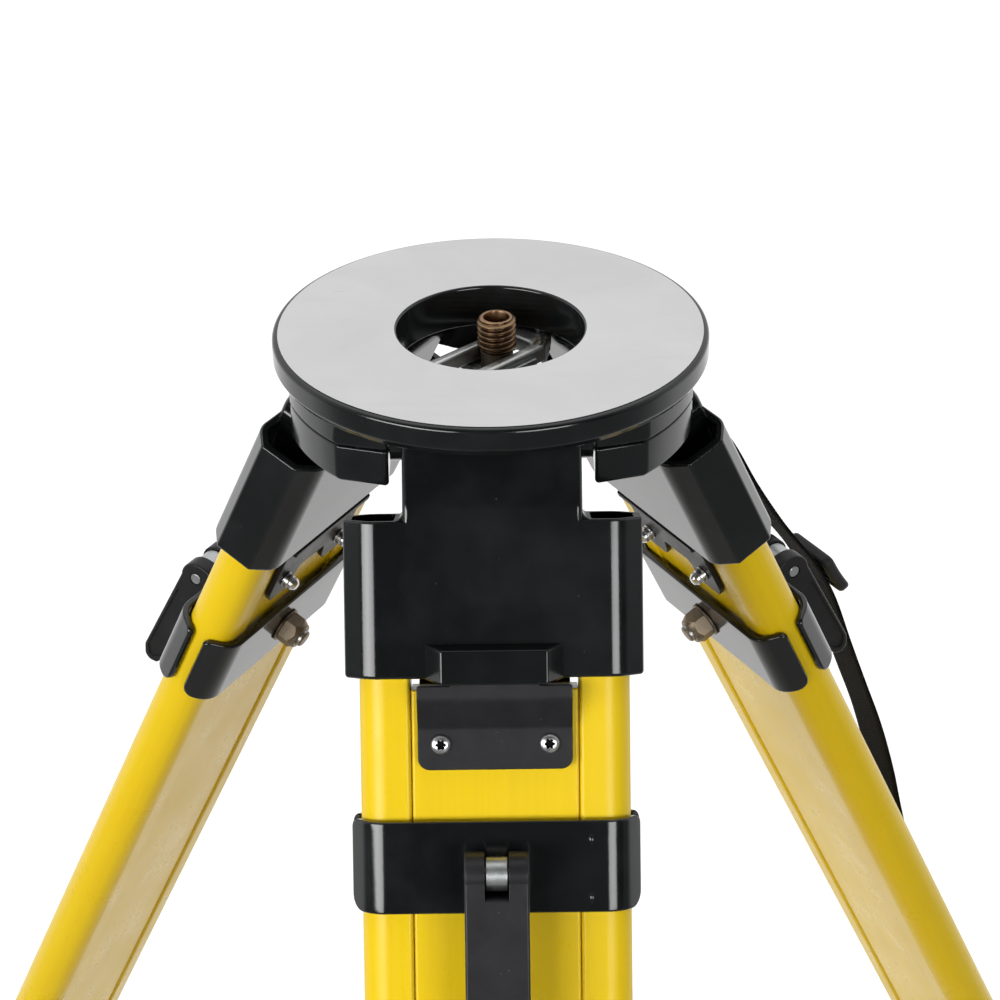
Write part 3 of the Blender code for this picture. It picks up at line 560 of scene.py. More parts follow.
def plate(outline, a, b, axis="z", edge=0.6, holes=(), hole_edge=None, steps=4, edge_low=None):
    """Prism from a to b with rounded rims, and round-rimmed holes through it."""
    bm = bmesh.new()
    if area(outline) < 0:
        outline = outline[::-1]
    low_edge = edge if edge_low is None else edge_low
    hole_edge = min(edge, 0.4) if hole_edge is None else hole_edge
    ends = {0: [], 1: []}
    for index, loop in enumerate([outline, *holes]):
        if area(loop) < 0:
            loop = loop[::-1]
        sign = 1.0 if index == 0 else -1.0
        r_low, r_high = (low_edge, edge) if index == 0 else (hole_edge, hole_edge)
        rings = []
        for k in range(steps + 1):
            t = math.pi / 2 * k / steps
            if r_low <= 0 and k < steps:
                continue
            rings.append((inset(loop, sign * r_low * (1 - math.sin(t))), a + r_low * (1 - math.cos(t))))
        for k in range(steps + 1):
            t = math.pi / 2 * (1 - k / steps)
            if r_high <= 0 and k > 0:
                continue
            rings.append((inset(loop, sign * r_high * (1 - math.sin(t))), b - r_high * (1 - math.cos(t))))
        verts = [[bm.verts.new(to_axis(axis, u, v, w)) for u, v in ring] for ring, w in rings]
        count = len(loop)
        for lo, hi in zip(verts, verts[1:]):
            for i in range(count):
                j = (i + 1) % count
                bm.faces.new((lo[i], lo[j], hi[j], hi[i]))
        ends[0].append(verts[0])
        ends[1].append(verts[-1])
    for side in (0, 1):
        edges = []
        for ring in ends[side]:
            for i in range(len(ring)):
                edges.append(bm.edges.get((ring[i], ring[(i + 1) % len(ring)])))
        if len(ends[side]) == 1:
            bm.faces.new(ends[side][0])
        else:
            bmesh.ops.triangle_fill(bm, use_beauty=True, use_dissolve=False, edges=edges)
    return bm


def turned(profile, sides, axis="z", centre=(0.0, 0.0, 0.0), start=0.0, closed=True):
    """Turns a closed (radius, height) outline about an axis; radius 0 makes a pole."""
    bm = bmesh.new()
    rings = []
    for radius, height in profile:
        if radius <= 1e-9:
            rings.append([bm.verts.new(to_axis(axis, 0, 0, height))] * sides)
            continue
        rings.append([bm.verts.new(to_axis(axis, radius * math.cos(start + 2 * math.pi * k / sides), radius * math.sin(start + 2 * math.pi * k / sides), height)) for k in range(sides)])
    pairs = list(zip(rings, rings[1:] + (rings[:1] if closed else [])))
    for a, b in pairs:
        for i in range(sides):
            j = (i + 1) % sides
            corner = []
            for vert in (a[i], a[j], b[j], b[i]):
                if vert not in corner:
                    corner.append(vert)
            if len(corner) > 2:
                try:
                    bm.faces.new(corner)
                except ValueError:
                    pass
    bmesh.ops.translate(bm, vec=Vector(centre), verts=bm.verts)
    return bm


def soft_profile(points, steps=5):
    """Rounds the corners of a (radius, height, corner radius) outline."""
    return rounded(points, steps)


def loft(sections, cap=True):
    bm = bmesh.new()
    rings = [[bm.verts.new(p) for p in ring] for ring in sections]
    count = len(rings[0])
    for a, b in zip(rings, rings[1:]):
        for i in range(count):
            j = (i + 1) % count
            bm.faces.new((a[i], a[j], b[j], b[i]))
    if cap:
        bm.faces.new(rings[0])
        bm.faces.new(rings[-1])
    return bm


def tidy(bm):
    bmesh.ops.remove_doubles(bm, verts=bm.verts, dist=2e-4)
    bmesh.ops.recalc_face_normals(bm, faces=bm.faces)
    if bm.calc_volume(signed=True) < 0:
        bmesh.ops.reverse_faces(bm, faces=bm.faces)
    return bm


def as_object(name, bm, mat=None):
    tidy(bm)
    bmesh.ops.scale(bm, vec=(MM, MM, MM), verts=bm.verts)
    mesh = bpy.data.meshes.new(name)
    bm.to_mesh(mesh)
    bm.free()
    obj = bpy.data.objects.new(name, mesh)
    SCENE.collection.objects.link(obj)
    if mat:
        mesh.materials.append(MAT[mat])
    return obj


def boolean(target, bm, operation="DIFFERENCE"):
    helper = as_object("helper_" + target.name, bm)
    helper.hide_render = True
    m = target.modifiers.new("b", "BOOLEAN")
    m.operation, m.object, m.solver = operation, helper, "EXACT"
    HELPERS.setdefault(target.name, []).append(helper)
    return helper


HELPERS = {}


def settle(obj, bevel=0.0, segments=3, angle=30.0, smooth=35.0, weight=True):
    """Applies the object's modifiers, with an optional fine bevel of its crisp edges, and sets its shading."""
    if bevel > 0:
        weld = obj.modifiers.new("w", "WELD")
        weld.merge_threshold = 2e-6
        m = obj.modifiers.new("v", "BEVEL")
        m.width, m.segments, m.limit_method, m.angle_limit = bevel * MM, segments, "ANGLE", math.radians(angle)
        m.offset_type, m.use_clamp_overlap, m.miter_outer = "OFFSET", True, "MITER_ARC"
    dg = bpy.context.evaluated_depsgraph_get()
    dg.update()
    mesh = bpy.data.meshes.new_from_object(obj.evaluated_get(dg), depsgraph=dg)
    mesh.name = obj.name
    obj.modifiers.clear()
    obj.data = mesh
    for helper in HELPERS.pop(obj.name, []):
        bpy.data.objects.remove(helper, do_unlink=True)
    shade(obj, smooth, weight)
    return obj


def shade(obj, smooth=35.0, weight=True):
    mesh = obj.data
    mesh.shade_smooth()
    mesh.set_sharp_from_angle(angle=math.radians(smooth))
    if weight:
        m = obj.modifiers.new("weighted", "WEIGHTED_NORMAL")
        m.keep_sharp = True
        m.weight = 60
        dg = bpy.context.evaluated_depsgraph_get()
        dg.update()
        made = bpy.data.meshes.new_from_object(obj.evaluated_get(dg), depsgraph=dg)
        made.name = mesh.name
        obj.modifiers.clear()
        obj.data = made
    return obj


def paint_faces(obj, mat, test):
    """Gives the faces that pass the test their own material."""
    mesh = obj.data
    mesh.materials.append(MAT[mat])
    index = len(mesh.materials) - 1
    for poly in mesh.polygons:
        if test(poly):
            poly.material_index = index


def mount_piece(obj, matrix, body, replaces=()):
    obj.matrix_world = matrix
    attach(obj, body)
    if replaces:
        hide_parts(*replaces)
    return obj


def for_each_leg(master, name, body, node=None, legs=LEGS, frames=None, upright=False):
    """Places one finished shape on every leg; the copies share its mesh, unless it is kept upright and carries the leg's tilt in its own points."""
    for leg in legs:
        piece = bpy.data.objects.new(f"{leg}_{name}", master.data)
        SCENE.collection.objects.link(piece)
        place = (frames or LEG_M)[leg]
        if upright:
            piece.data = master.data.copy()
            piece.data.transform(place.to_3x3().to_4x4())
            place = Matrix.Translation(place.translation)
        mount_piece(piece, place, f"{leg}_{body}", (f"{leg}_{node}",) if node else ())
    bpy.data.objects.remove(master, do_unlink=True)


def slice_along(bm, axis, values):
    """Adds edge rows across the mesh at the given positions along an axis."""
    normal = Vector((axis == "x", axis == "y", axis == "z"))
    for value in values:
        bmesh.ops.bisect_plane(bm, geom=list(bm.verts) + list(bm.edges) + list(bm.faces), dist=1e-5, plane_co=normal * value, plane_no=normal)


def bend_path(points, radius, steps=6):
    """A polyline with its corners rounded, as (length, point, direction) samples for bending sheet metal."""
    pts = [Vector(p) for p in points]
    route = [pts[0]]
    for i in range(1, len(pts) - 1):
        before, after = (pts[i - 1] - pts[i]).normalized(), (pts[i + 1] - pts[i]).normalized()
        half = before.angle(after) / 2
        reach = radius / math.tan(half)
        centre = pts[i] + (before + after).normalized() * (radius / math.sin(half))
        start, end = pts[i] + before * reach - centre, pts[i] + after * reach - centre
        sweep = start.angle_signed(end)
        for k in range(steps + 1):
            a = -sweep * k / steps
            c, s = math.cos(a), math.sin(a)
            route.append(centre + Vector((c * start.x - s * start.y, s * start.x + c * start.y)))
    route.append(pts[-1])
    lengths = [0.0]
    for a, b in zip(route, route[1:]):
        lengths.append(lengths[-1] + (b - a).length)
    return route, lengths


def follow(route, lengths, u):
    """Point and unit direction at a length along the route; straight on beyond its ends."""
    if u <= lengths[0]:
        d = (route[1] - route[0]).normalized()
        return route[0] + d * (u - lengths[0]), d
    for i in range(len(lengths) - 1):
        if u <= lengths[i + 1] or i == len(lengths) - 2:
            d = (route[i + 1] - route[i]).normalized()
            return route[i] + d * (u - lengths[i]), d
    return route[-1], (route[-1] - route[-2]).normalized()


def smooth_direction(route, lengths, u):
    """As follow, but the direction turns evenly between the samples."""
    p, _ = follow(route, lengths, u)
    i = int(np.searchsorted(lengths, u))
    i = min(max(i, 1), len(lengths) - 1)
    dirs = []
    for k in range(len(route)):
        a = route[max(k - 1, 0)]
        b = route[min(k + 1, len(route) - 1)]
        dirs.append((b - a).normalized())
    t = (u - lengths[i - 1]) / max(1e-9, lengths[i] - lengths[i - 1])
    t = min(1.0, max(0.0, t))
    return p, (dirs[i - 1] * (1 - t) + dirs[i] * t).normalized()


# ================================================================ pieces of the head
def bearing_outline(radius, shift=0.0, corner=1.6):
    """Plan of one bearing block on the +Y axis."""
    normal = math.radians(90 - 43.5)
    dist = 71.5 - shift
    along = Vector((math.cos(math.radians(30)), math.sin(math.radians(30))))
    end = 39.3 + shift
    inner = Vector(((48.0 * math.cos(math.radians(30)) - end) / math.sin(math.radians(30)), 48.0))
    flat = Vector((math.cos(normal), math.sin(normal)))
    tip = inner + along * ((dist - inner.dot(flat)) / along.dot(flat))
    first = math.degrees(normal) + math.degrees(math.acos(dist / (radius - shift)))
    steps = 14
    arc = [polar(radius - shift, first + (180 - 2 * first) * k / steps) for k in range(steps + 1)]
    pts = [(inner.x, inner.y, 1.8), (tip.x, tip.y, corner)] + [(x, y, 0) for x, y in arc] + [(-tip.x, tip.y, corner), (-inner.x, inner.y, 1.8)]
    return rounded(pts, 6)


def spun(outline, degrees):
    c, s = math.cos(math.radians(degrees)), math.sin(math.radians(degrees))
    return [(c * x - s * y, s * x + c * y) for x, y in outline]


HINGE_RADIUS = 41.7 + HINGE_DEPTH * math.tan(LEAN)


def hinge_bore(alpha, radius, half):
    bm = turned([(0, -half), (radius, -half), (radius, half), (0, half)], 28, "x", closed=False)
    place = Matrix.Rotation(math.radians(alpha - 90), 4, "Z") @ Matrix.Translation(Vector((0, HINGE_RADIUS, -HINGE_DEPTH)))
    bmesh.ops.transform(bm, matrix=place, verts=bm.verts)
    return bm


ALPHAS = {"front": -90.0, "right": 30.0, "left": 150.0}

rim = soft_profile(
    [
        (37.05, 0.0, 1.25), (84.05, 0.0, 0.0), (84.05, -0.25, 0.0), (86.3, -0.35, 1.9), (86.3, -9.0, 2.6), (84.4, -12.0, 0.8), (81.6, -12.0, 0.6),
        (79.6, -7.5, 1.2), (40.3, -7.5, 1.6), (40.3, -17.3, 0.6), (37.05, -17.3, 0.5),
    ],
    6,
)
head = as_object("head_body", turned(rim, 200), "black")
for turn in (0.0, 120.0, 240.0):
    boolean(head, plate(spun(bearing_outline(82.0), turn), -21.5, -6.6, "z", 0.2, edge_low=0.9), "UNION")
lug = []
for k in range(28):
    x, y = 19.6 + polar(5.2, k * 360 / 28)[0], 35.3 + polar(5.2, k * 360 / 28)[1]
    push = max(1.0, 38.5 / math.hypot(x, y))
    lug.append((x * push, y * push))
boolean(head, plate(lug, -18.6, -6.0, "z", 0.0, edge_low=0.0), "UNION")
boolean(head, plate(circle(2.2, 20, (19.6, 35.3)), -30.0, -15.0, "z", 0.0), "DIFFERENCE")
for leg, alpha in ALPHAS.items():
    boolean(head, hinge_bore(alpha, 5.8, 52.4), "DIFFERENCE")
settle(head, 0.0, smooth=38.0)
paint_faces(head, "machined", lambda p: p.normal.z > 0.6 and p.center.z > -0.00022 and 0.0379 < math.hypot(p.center.x, p.center.y) < 0.08410)
mount_piece(head, HEAD_M, "head", ("head_casting",))

for side, turn in (("rear", 0.0), ("left", 120.0), ("right", 240.0)):
    cap = as_object(f"bearing_cap_{side}_cast", plate(spun(bearing_outline(81.7), turn), -37.0, -22.0, "z", 0.7, edge_low=1.4), "black")
    for leg, alpha in ALPHAS.items():
        if abs(((alpha - 90 - turn + 180) % 360) - 180) < 70:
            boolean(cap, hinge_bore(alpha, 5.8, 52.4), "DIFFERENCE")
    settle(cap, 0.0, smooth=38.0)
    mount_piece(cap, HEAD_M, "head", (f"bearing_cap_{side}",))
    for sign, label in ((-1, "a"), (1, "b")):
        where = Matrix.Rotation(math.radians(turn), 4, "Z") @ Vector((sign * 14.0, 66.0, 0))
        bolt = as_object(
            f"cap_bolt_{side}_{label}",
            turned(soft_profile([(0, -36.6, 0), (4.9, -36.6, 0.1), (4.9, -40.2, 0.5), (3.1, -40.2, 0.15), (2.4, -39.9, 0.0), (2.4, -37.9, 0.2), (0, -37.9, 0)], 4), 40, closed=False),
            "steel",
        )
        boolean(bolt, plate(circle(2.9, 6), -42.0, -37.6, "z", 0.0), "DIFFERENCE")
        settle(bolt, 0.0)
        mount_piece(bolt, HEAD_M @ Matrix.Translation(where * MM), "head")

# ---------------------------------------------------------------- centring arm, slider, bush, screw, knob
HALF, SLOT_HALF, END = 12.2, 7.15, 69.0
arm_out = rounded(
    [(-4.6, -3.0, 3.0), (4.0, -8.6, 2.0), (8.5, -HALF, 2.5), (END, -HALF, 5.0), (END, HALF, 5.0), (8.5, HALF, 2.5), (4.0, 8.6, 2.0), (-4.6, 3.0, 3.0)], 8
)
arm_in = rounded([(10.6, -SLOT_HALF, 3), (63.6, -SLOT_HALF, 3), (63.6, SLOT_HALF, 3), (10.6, SLOT_HALF, 3)], 6)
arm = as_object("centring_arm_cast", plate(arm_out, -26.0, -19.0, "z", 1.9, [arm_in, circle(2.2, 24)], 1.5, 6, edge_low=0.8), "cast")
shade(arm, 40.0)
mount_piece(arm, ARM_M, "arm", ("centring_arm",))

pin = as_object(
    "arm_pivot_rivet",
    turned(soft_profile([(0, -29.0, 0), (4.4, -29.0, 1.2), (4.8, -27.6, 0.6), (4.8, -26.3, 0.3), (1.9, -26.3, 0), (1.9, -15.3, 0.3), (0, -15.3, 0)], 5), 40, closed=False),
    "steel",
)
shade(pin)
mount_piece(pin, Matrix.Translation(Vector((_pivot.x, _pivot.y, HEAD.z))), "head", ("arm_pivot_pin",))

slider_out = rounded(
    [(-14.2, -22.0, 0.45), (-14.2, -29.0, 1.8), (14.2, -29.0, 1.8), (14.2, -22.0, 0.45), (12.5, -22.0, 0.45), (12.5, -26.3, 0.6), (-12.5, -26.3, 0.6), (-12.5, -22.0, 0.45)], 5
)
slider = as_object("slider_plate", plate(slider_out, -9.0, 9.0, "x", 0.35), "steel")
boolean(slider, turned([(0, -33), (6.9, -33), (6.9, -24), (0, -24)], 40, closed=False), "DIFFERENCE")
settle(slider, 0.0)
mount_piece(slider, SLIDER_M, "slider", ("screw_slider",))

bush = as_object(
    "screw_bush_turned",
    turned(soft_profile([(4.5, -19.0, 0.2), (6.6, -19.0, 0.4), (6.6, -43.4, 0.2), (9.5, -43.4, 0.5), (9.5, -45.7, 0.5), (4.5, -45.7, 0.3)], 4), 56),
    "bronze_dark",
)
shade(bush)
mount_piece(bush, SCREW_M, "bush", ("screw_bush",))


def threaded_screw():
    """Hollow 5/8-11 screw: helical crests as a height field wound round the shank."""
    sides, pitch = 120, 25.4 / 11
    crest, root = 7.92, 6.55
    top, end = -4.7, -18.7
    rows = []  # (height, radius, threaded?)
    for z, r in ((-63.6, 2.2), (-16.9, 2.2), (-15.7, 5.05), (-15.2, 5.2), (top - 0.5, 5.2), (top - 0.12, 5.32), (top, 5.6), (top, 6.15), (top - 0.12, 6.40)):
        rows.append((z, r, False))
    n = int((top - 0.35 - end) / (pitch / 16))
    for k in range(n + 1):
        rows.append((top - 0.35 + (end - top + 0.35) * k / n, None, True))
    for z, r in ((end - 0.02, 4.5), (end - 0.5, 4.2), (-63.7, 4.2), (-64.0, 3.9), (-64.0, 2.5)):
        rows.append((z, r, False))
    bm = bmesh.new()
    rings = []
    for z, r, is_thread in rows:
        ring = []
        for k in range(sides):
            a = 2 * math.pi * k / sides
            radius = r
            if is_thread:
                phase = ((z - end) / pitch - k / sides) % 1.0
                tri = abs(phase - 0.5) * 2.0  # 0 at the crest, 1 in the groove
                wave = (0.5 + 0.5 * math.cos(math.pi * min(1.0, max(0.0, (tri - 0.05) / 0.80)))) ** 1.25
                radius = root + (crest - root) * wave
                cone = 6.45 + (top - z) * 1.05  # lead-in chamfer
                radius = min(radius, cone)
                tail = (z - end) / 1.2
                if tail < 1.0:
                    radius = min(radius, 4.6 + (radius - 4.6) * max(0.0, tail) ** 0.5)
            ring.append(bm.verts.new((radius * math.cos(a), radius * math.sin(a), z)))
        rings.append(ring)
    for a, b in zip(rings, rings[1:] + rings[:1]):
        for i in range(sides):
            j = (i + 1) % sides
            bm.faces.new((a[i], a[j], b[j], b[i]))
    return bm


screw = as_object("hollow_screw_threaded", threaded_screw(), "bronze")
shade(screw, 60.0, False)
mount_piece(screw, SCREW_M, "screw", ("centring_screw",))


def fluted_knob():
    sides = 144
    rows = [(4.5, -46.0, 0), (9.6, -46.0, 0), (10.6, -46.3, 0.2), (11.6, -47.1, 0.7), (12.2, -48.2, 1), (12.45, -50.0, 1), (12.5, -54.0, 1), (12.5, -60.5, 1),
            (12.2, -62.6, 1), (11.5, -64.6, 0.8), (10.4, -65.7, 0.3), (9.2, -66.0, 0), (7.6, -66.0, 0), (7.5, -65.8, 0), (7.4, -64.8, 0), (7.1, -64.6, 0), (4.5, -64.6, 0)]
    bm = bmesh.new()
    rings = []
    for r, z, depth in rows:
        ring = []
        for k in range(sides):
            a = 2 * math.pi * k / sides
            flute = max(0.0, math.cos(a * 12)) ** 2 * 0.85 * depth
            ring.append(bm.verts.new(((r - flute) * math.cos(a), (r - flute) * math.sin(a), z)))
        rings.append(ring)
    for a, b in zip(rings, rings[1:] + rings[:1]):
        for i in range(sides):
            j = (i + 1) % sides
            bm.faces.new((a[i], a[j], b[j], b[i]))
    return bm


knob = as_object("screw_knob_moulded", fluted_knob(), "plastic")
shade(knob, 40.0)
mount_piece(knob, SCREW_M, "screw", ("screw_knob",))

# cast sprue left on the arm's front bar
rng = np.random.default_rng(7)
sprue = bmesh.new()
bmesh.ops.create_icosphere(sprue, subdivisions=4, radius=1.0)
for v in sprue.verts:
    p = v.co.copy()
    w = 1.0 + 0.22 * math.sin(5.1 * p.x + 1.3) * math.sin(6.3 * p.y + 0.4) + 0.14 * math.sin(13 * p.x + 7 * p.z) * math.cos(11 * p.y + 2)
    v.co = Vector((p.x * 4.6 * w, p.y * 2.3 * w, p.z * 1.5 * w + 0.4 * math.sin(3 * p.x)))
sprue_obj = as_object("arm_sprue", sprue, "rough_cast")
shade(sprue_obj, 60.0, False)
mount_piece(sprue_obj, ARM_M @ Matrix.Translation(Vector((6.5, 7.2, -19.3)) * MM) @ Matrix.Rotation(math.radians(20), 4, "Z"), "arm")


# ================================================================ one leg
def build_yoke():
    octagon = rounded(
        [(57.0, -8.5, 2.0), (57.0, 8.5, 2.0), (48.0, 16.0, 11.0), (-48.0, 16.0, 11.0), (-57.0, 8.5, 2.0), (-57.0, -8.5, 2.0), (-48.0, -16.0, 11.0), (48.0, -16.0, 11.0)], 10
    )
    if area(octagon) < 0:
        octagon = octagon[::-1]

    def top(y):
        return 54.8 - (16.0 - y) / 32.0 * 1.0

    rings = []
    r = 1.5
    for k in range(6):
        t = math.pi / 2 * k / 5
        ring = inset(octagon, r * (1 - math.sin(t)))
        rings.append([(x, y, z_at(114.8) + r * (1 - math.cos(t))) for x, y in ring])
    r = 0.9
    for k in range(5):
        t = math.pi / 2 * (1 - k / 4)
        ring = inset(octagon, r * (1 - math.sin(t)))
        rings.append([(x, y, z_at(top(y)) - r * (1 - math.cos(t))) for x, y in ring])
    yoke = as_object("yoke", loft(rings), "black")
    # the face of the tab runs a few hundredths of a millimetre proud of the block's, so that one dies into the other
    front = [(15.88, z_at(66), 0), (16.05, z_at(49.5), 14.0), (13.0, z_at(30.0), 3.0)]
    rear = [(-12.0, z_at(49), 2.5), (-15.9, z_at(54.5), 2.6), (-15.82, z_at(66), 0)]
    tab = rounded(front + [(x, y, 0) for x, y in (polar(12.0, a) for a in range(0, 181, 9))] + rear, 6)
    boolean(yoke, plate(tab, -34.1, 34.1, "x", 2.2, steps=5), "UNION")
    boolean(yoke, plate(circle(8.2, 36), -38.8, 38.8, "x", 0.5), "UNION")
    # concave fillets where the tab meets the sloping shoulders
    for side in (-1, 1):
        r = 3.4
        arc = [(34.1 + r - r * math.cos(math.radians(a)), r - r * math.sin(math.radians(a))) for a in range(0, 91, 9)]
        pts = [(side * x, z_at(54.8) + z) for x, z in [(33.0, -2.5), (33.0, r)] + arc + [(34.1 + r, -2.5)]]
        web = plate(pts, -13.2, 14.3, "y", 0.5)
        for v in web.verts:
            v.co.z += (16.0 - v.co.y) / 32.0 * 1.0 - 0.05
        boolean(yoke, web, "UNION")
    low = [(-26.7, 115.2), (26.7, 115.2), (26.7, 101.4), (-26.7, 101.4)]
    high = [(-20.6, 116.2), (20.6, 116.2), (20.6, 102.9), (-20.6, 102.9)]
    lo_ring = rounded([(x, z_at(s), 1.1) for x, s in low], 3)
    hi_ring = rounded([(x, z_at(s), 1.1) for x, s in high], 3)
    if area(lo_ring) < 0:
        lo_ring, hi_ring = lo_ring[::-1], hi_ring[::-1]
    sections = [[(x, 13.0, z) for x, z in lo_ring], [(x, 15.2, z) for x, z in lo_ring]]
    for k in range(5):
        t = math.pi / 2 * k / 4
        ring = inset(hi_ring, 0.9 * (1 - math.cos(t)))
        sections.append([(x, 24.0 - 0.9 * (1 - math.sin(t)), z) for x, z in ring])
    boolean(yoke, loft(sections), "UNION")
    boolean(yoke, turned([(0, -45), (5.8, -45), (5.8, 45), (0, 45)], 36, "x", closed=False), "DIFFERENCE")
    for side in (-1, 1):
        rail = rail_outline(side, 0.3)
        boolean(yoke, plate(rail, z_at(120), z_at(71.7), "z", 0.0), "DIFFERENCE")
        pocket = rounded([(37.4, -12.6, 2.0), (47.6, -12.6, 2.0), (53.8, -7.2, 1.5), (53.8, 7.2, 1.5), (47.6, 12.6, 2.0), (37.4, 12.6, 2.0)], 4)
        boolean(yoke, plate([(side * x, y) for x, y in pocket], z_at(67.5), z_at(44), "z", 0.0), "DIFFERENCE")
    boolean(yoke, plate(rounded([(-28.8, -12.6, 2), (28.8, -12.6, 2), (28.8, 12.6, 2), (-28.8, 12.6, 2)], 4), z_at(120), z_at(70), "z", 1.5, edge_low=0.0), "DIFFERENCE")
    boolean(yoke, plate(rounded([(-18, 10, 0.8), (18, 10, 0.8), (18, 21.2, 1.0), (-18, 21.2, 1.0)], 3), z_at(120), z_at(106), "z", 0.5, edge_low=0.0), "DIFFERENCE")
    return settle(yoke, 0.35, 2, 32.0, 34.0)


def rail_outline(side, grow=0.0):
    g = grow
    outline = rounded(
        [(32.2 - g, -11.0 - g, 1.8), (51.9 + g, -11.0 - g, 10.5 + g), (51.9 + g, 11.0 + g, 10.5 + g), (32.2 - g, 11.0 + g, 1.8)], 14
    )
    return [(side * x, y) for x, y in outline]


for_each_leg(build_yoke(), "yoke_cast", "upper_leg", "yoke")

pin = as_object("pin", turned(soft_profile([(0, -52, 0), (5.5, -52, 0.8), (5.5, 52, 0.8), (0, 52, 0)], 4), 40, "x", closed=False), "steel")
shade(pin)
for_each_leg(pin, "hinge_pin_ground", "upper_leg", "hinge_pin")

for side, label in ((-1, "left"), (1, "right")):
    bm = plate(rail_outline(side), z_at(900), z_at(72), "z", 0.5)
    slice_along(bm, "z", [z_at(s) for s in range(110, 900, 60)])
    rail = as_object("rail", bm, "yellow")
    shade(rail)
    for_each_leg(rail, f"rail_{label}_pultruded", "upper_leg", f"rail_{label}")

collar_out = rounded([(57, -9, 2.0), (57, 9, 2.0), (50, 15.8, 9), (-50, 15.8, 9), (-57, 9, 2.0), (-57, -9, 2.0), (-50, -15.8, 9), (50, -15.8, 9)], 8)
collar_in = rounded([(-52.2, -11.3, 7), (52.2, -11.3, 7), (52.2, 11.3, 7), (-52.2, 11.3, 7)], 8)
collar = as_object("collar", plate(collar_out, z_at(904), z_at(862), "z", 1.3, [collar_in], 0.6), "black")
shade(collar)
for_each_leg(collar, "lower_collar_cast", "upper_leg", "lower_collar")

# ---------------------------------------------------------------- sliding leg
for group in (("front",), ("right", "left")):
    station = S_HINGE - (LEG_M[group[0]].inverted() @ CLAMP_M[group[0]] @ Vector((0, 0, z_at(CLAMP_S) * MM))).z / MM
    holes = [circle(4.3, 32, (0, z_at(station))), circle(2.3, 20, (20.7, z_at(140))), circle(2.3, 20, (-20.7, z_at(140)))]
    bm = plate([(-31.9, z_at(955)), (31.9, z_at(955)), (31.9, z_at(119.6)), (-31.9, z_at(119.6))], -10.0, 10.0, "y", 1.2, holes, 0.2, 5)
    slab = as_object("slab", bm, "yellow")
    shade(slab)
    for_each_leg(slab, "sliding_leg_board", "lower_leg", "sliding_leg", group)


def bent_sheet(name, outline, thickness, path, radius, mat, holes=(), edge=0.5, across="x", dimples=()):
    """Sheet-metal piece: a flat blank (u along the bends' path, v across) bent along a path, thickness outwards."""
    route, lengths = bend_path(path, radius, 8)
    mid = lengths[-1] / 2
    bm = plate(outline, -thickness / 2, thickness / 2, "z", edge, holes, min(0.35, edge), 4)
    cuts = sorted({round(l - mid, 4) for l in lengths[1:-1]})
    slice_along(bm, "x", cuts)
    for v in bm.verts:
        u, w, n = v.co.x + mid, v.co.y, v.co.z
        p, d = smooth_direction(route, lengths, u)
        normal = Vector((-d.y, d.x))
        q = p + normal * n
        v.co = Vector((q.x, q.y, w)) if across == "x" else Vector((w, q.x, q.y))
    obj = as_object(name, bm, mat)
    return obj


# stop plates: path in (y, z), blank (u = down the path, v = x)
T = 3.0
path = [(18.3, z_at(110.5)), (18.3, z_at(122.0)), (11.85, z_at(133.6)), (11.85, z_at(150.0))]
route, lengths = bend_path(path, 5.0, 8)
mid = lengths[-1] / 2
u_wide = (117.0 - 110.5) - mid
blank = rounded(
    [
        (-mid, -16.8, 0.8), (-mid, 16.8, 0.8), (u_wide, 16.8, 0.6), (u_wide, 29.5, 0.8), (mid, 29.5, 4.6), (mid, -29.5, 4.6), (u_wide, -29.5, 0.8), (u_wide, -16.8, 0.6),
    ], 6,
)
screw_u = mid - 10.0
stop_holes = [circle(2.3, 20, (screw_u, x)) for x in (-20.7, 20.7)]
stop = bent_sheet("stop", blank, T, path, 5.0, "satin", stop_holes, 0.45, "yz")
shade(stop)
for_each_leg(stop, "stop_plate_outer_bent", "lower_leg", "stop_plate_outer")

inner_path = [(-16.0, z_at(118.1)), (-11.6, z_at(118.1)), (-11.6, z_at(151.0))]
route, lengths = bend_path(inner_path, 1.9, 6)
mid = lengths[-1] / 2
top_u, end_u = -mid, mid


def stop_u(station):
    return mid - (151.0 - station)


blank = rounded(
    [
        (-mid, -28.9, 1.0), (-mid, 28.9, 1.0), (stop_u(122), 29.5, 0.5), (stop_u(146), 29.5, 2.5), (end_u, 26.5, 2.5), (end_u, 14.5, 2.5), (stop_u(146), 11.5, 2.5),
        (stop_u(139.5), 9.5, 2.2), (stop_u(139.5), -9.5, 2.2), (stop_u(146), -11.5, 2.5), (end_u, -14.5, 2.5), (end_u, -26.5, 2.5), (stop_u(146), -29.5, 2.5), (stop_u(122), -29.5, 0.5),
    ], 5,
)
inner = bent_sheet("stop_inner", blank, 2.6, inner_path, 1.9, "satin", [circle(2.3, 20, (stop_u(140), x)) for x in (-20.7, 20.7)], 0.4, "yz")
shade(inner)
for_each_leg(inner, "stop_plate_inner_bent", "lower_leg", "stop_plate_inner")


def star(outer, inner_r, lobes=6, steps=6):
    """Six-lobed driver recess."""
    pts = []
    for k in range(lobes * steps * 2):
        a = 2 * math.pi * k / (lobes * steps * 2)
        wave = 0.5 + 0.5 * math.cos(a * lobes)
        pts.append(polar(inner_r + (outer - inner_r) * wave ** 0.8, math.degrees(a)))
    return pts


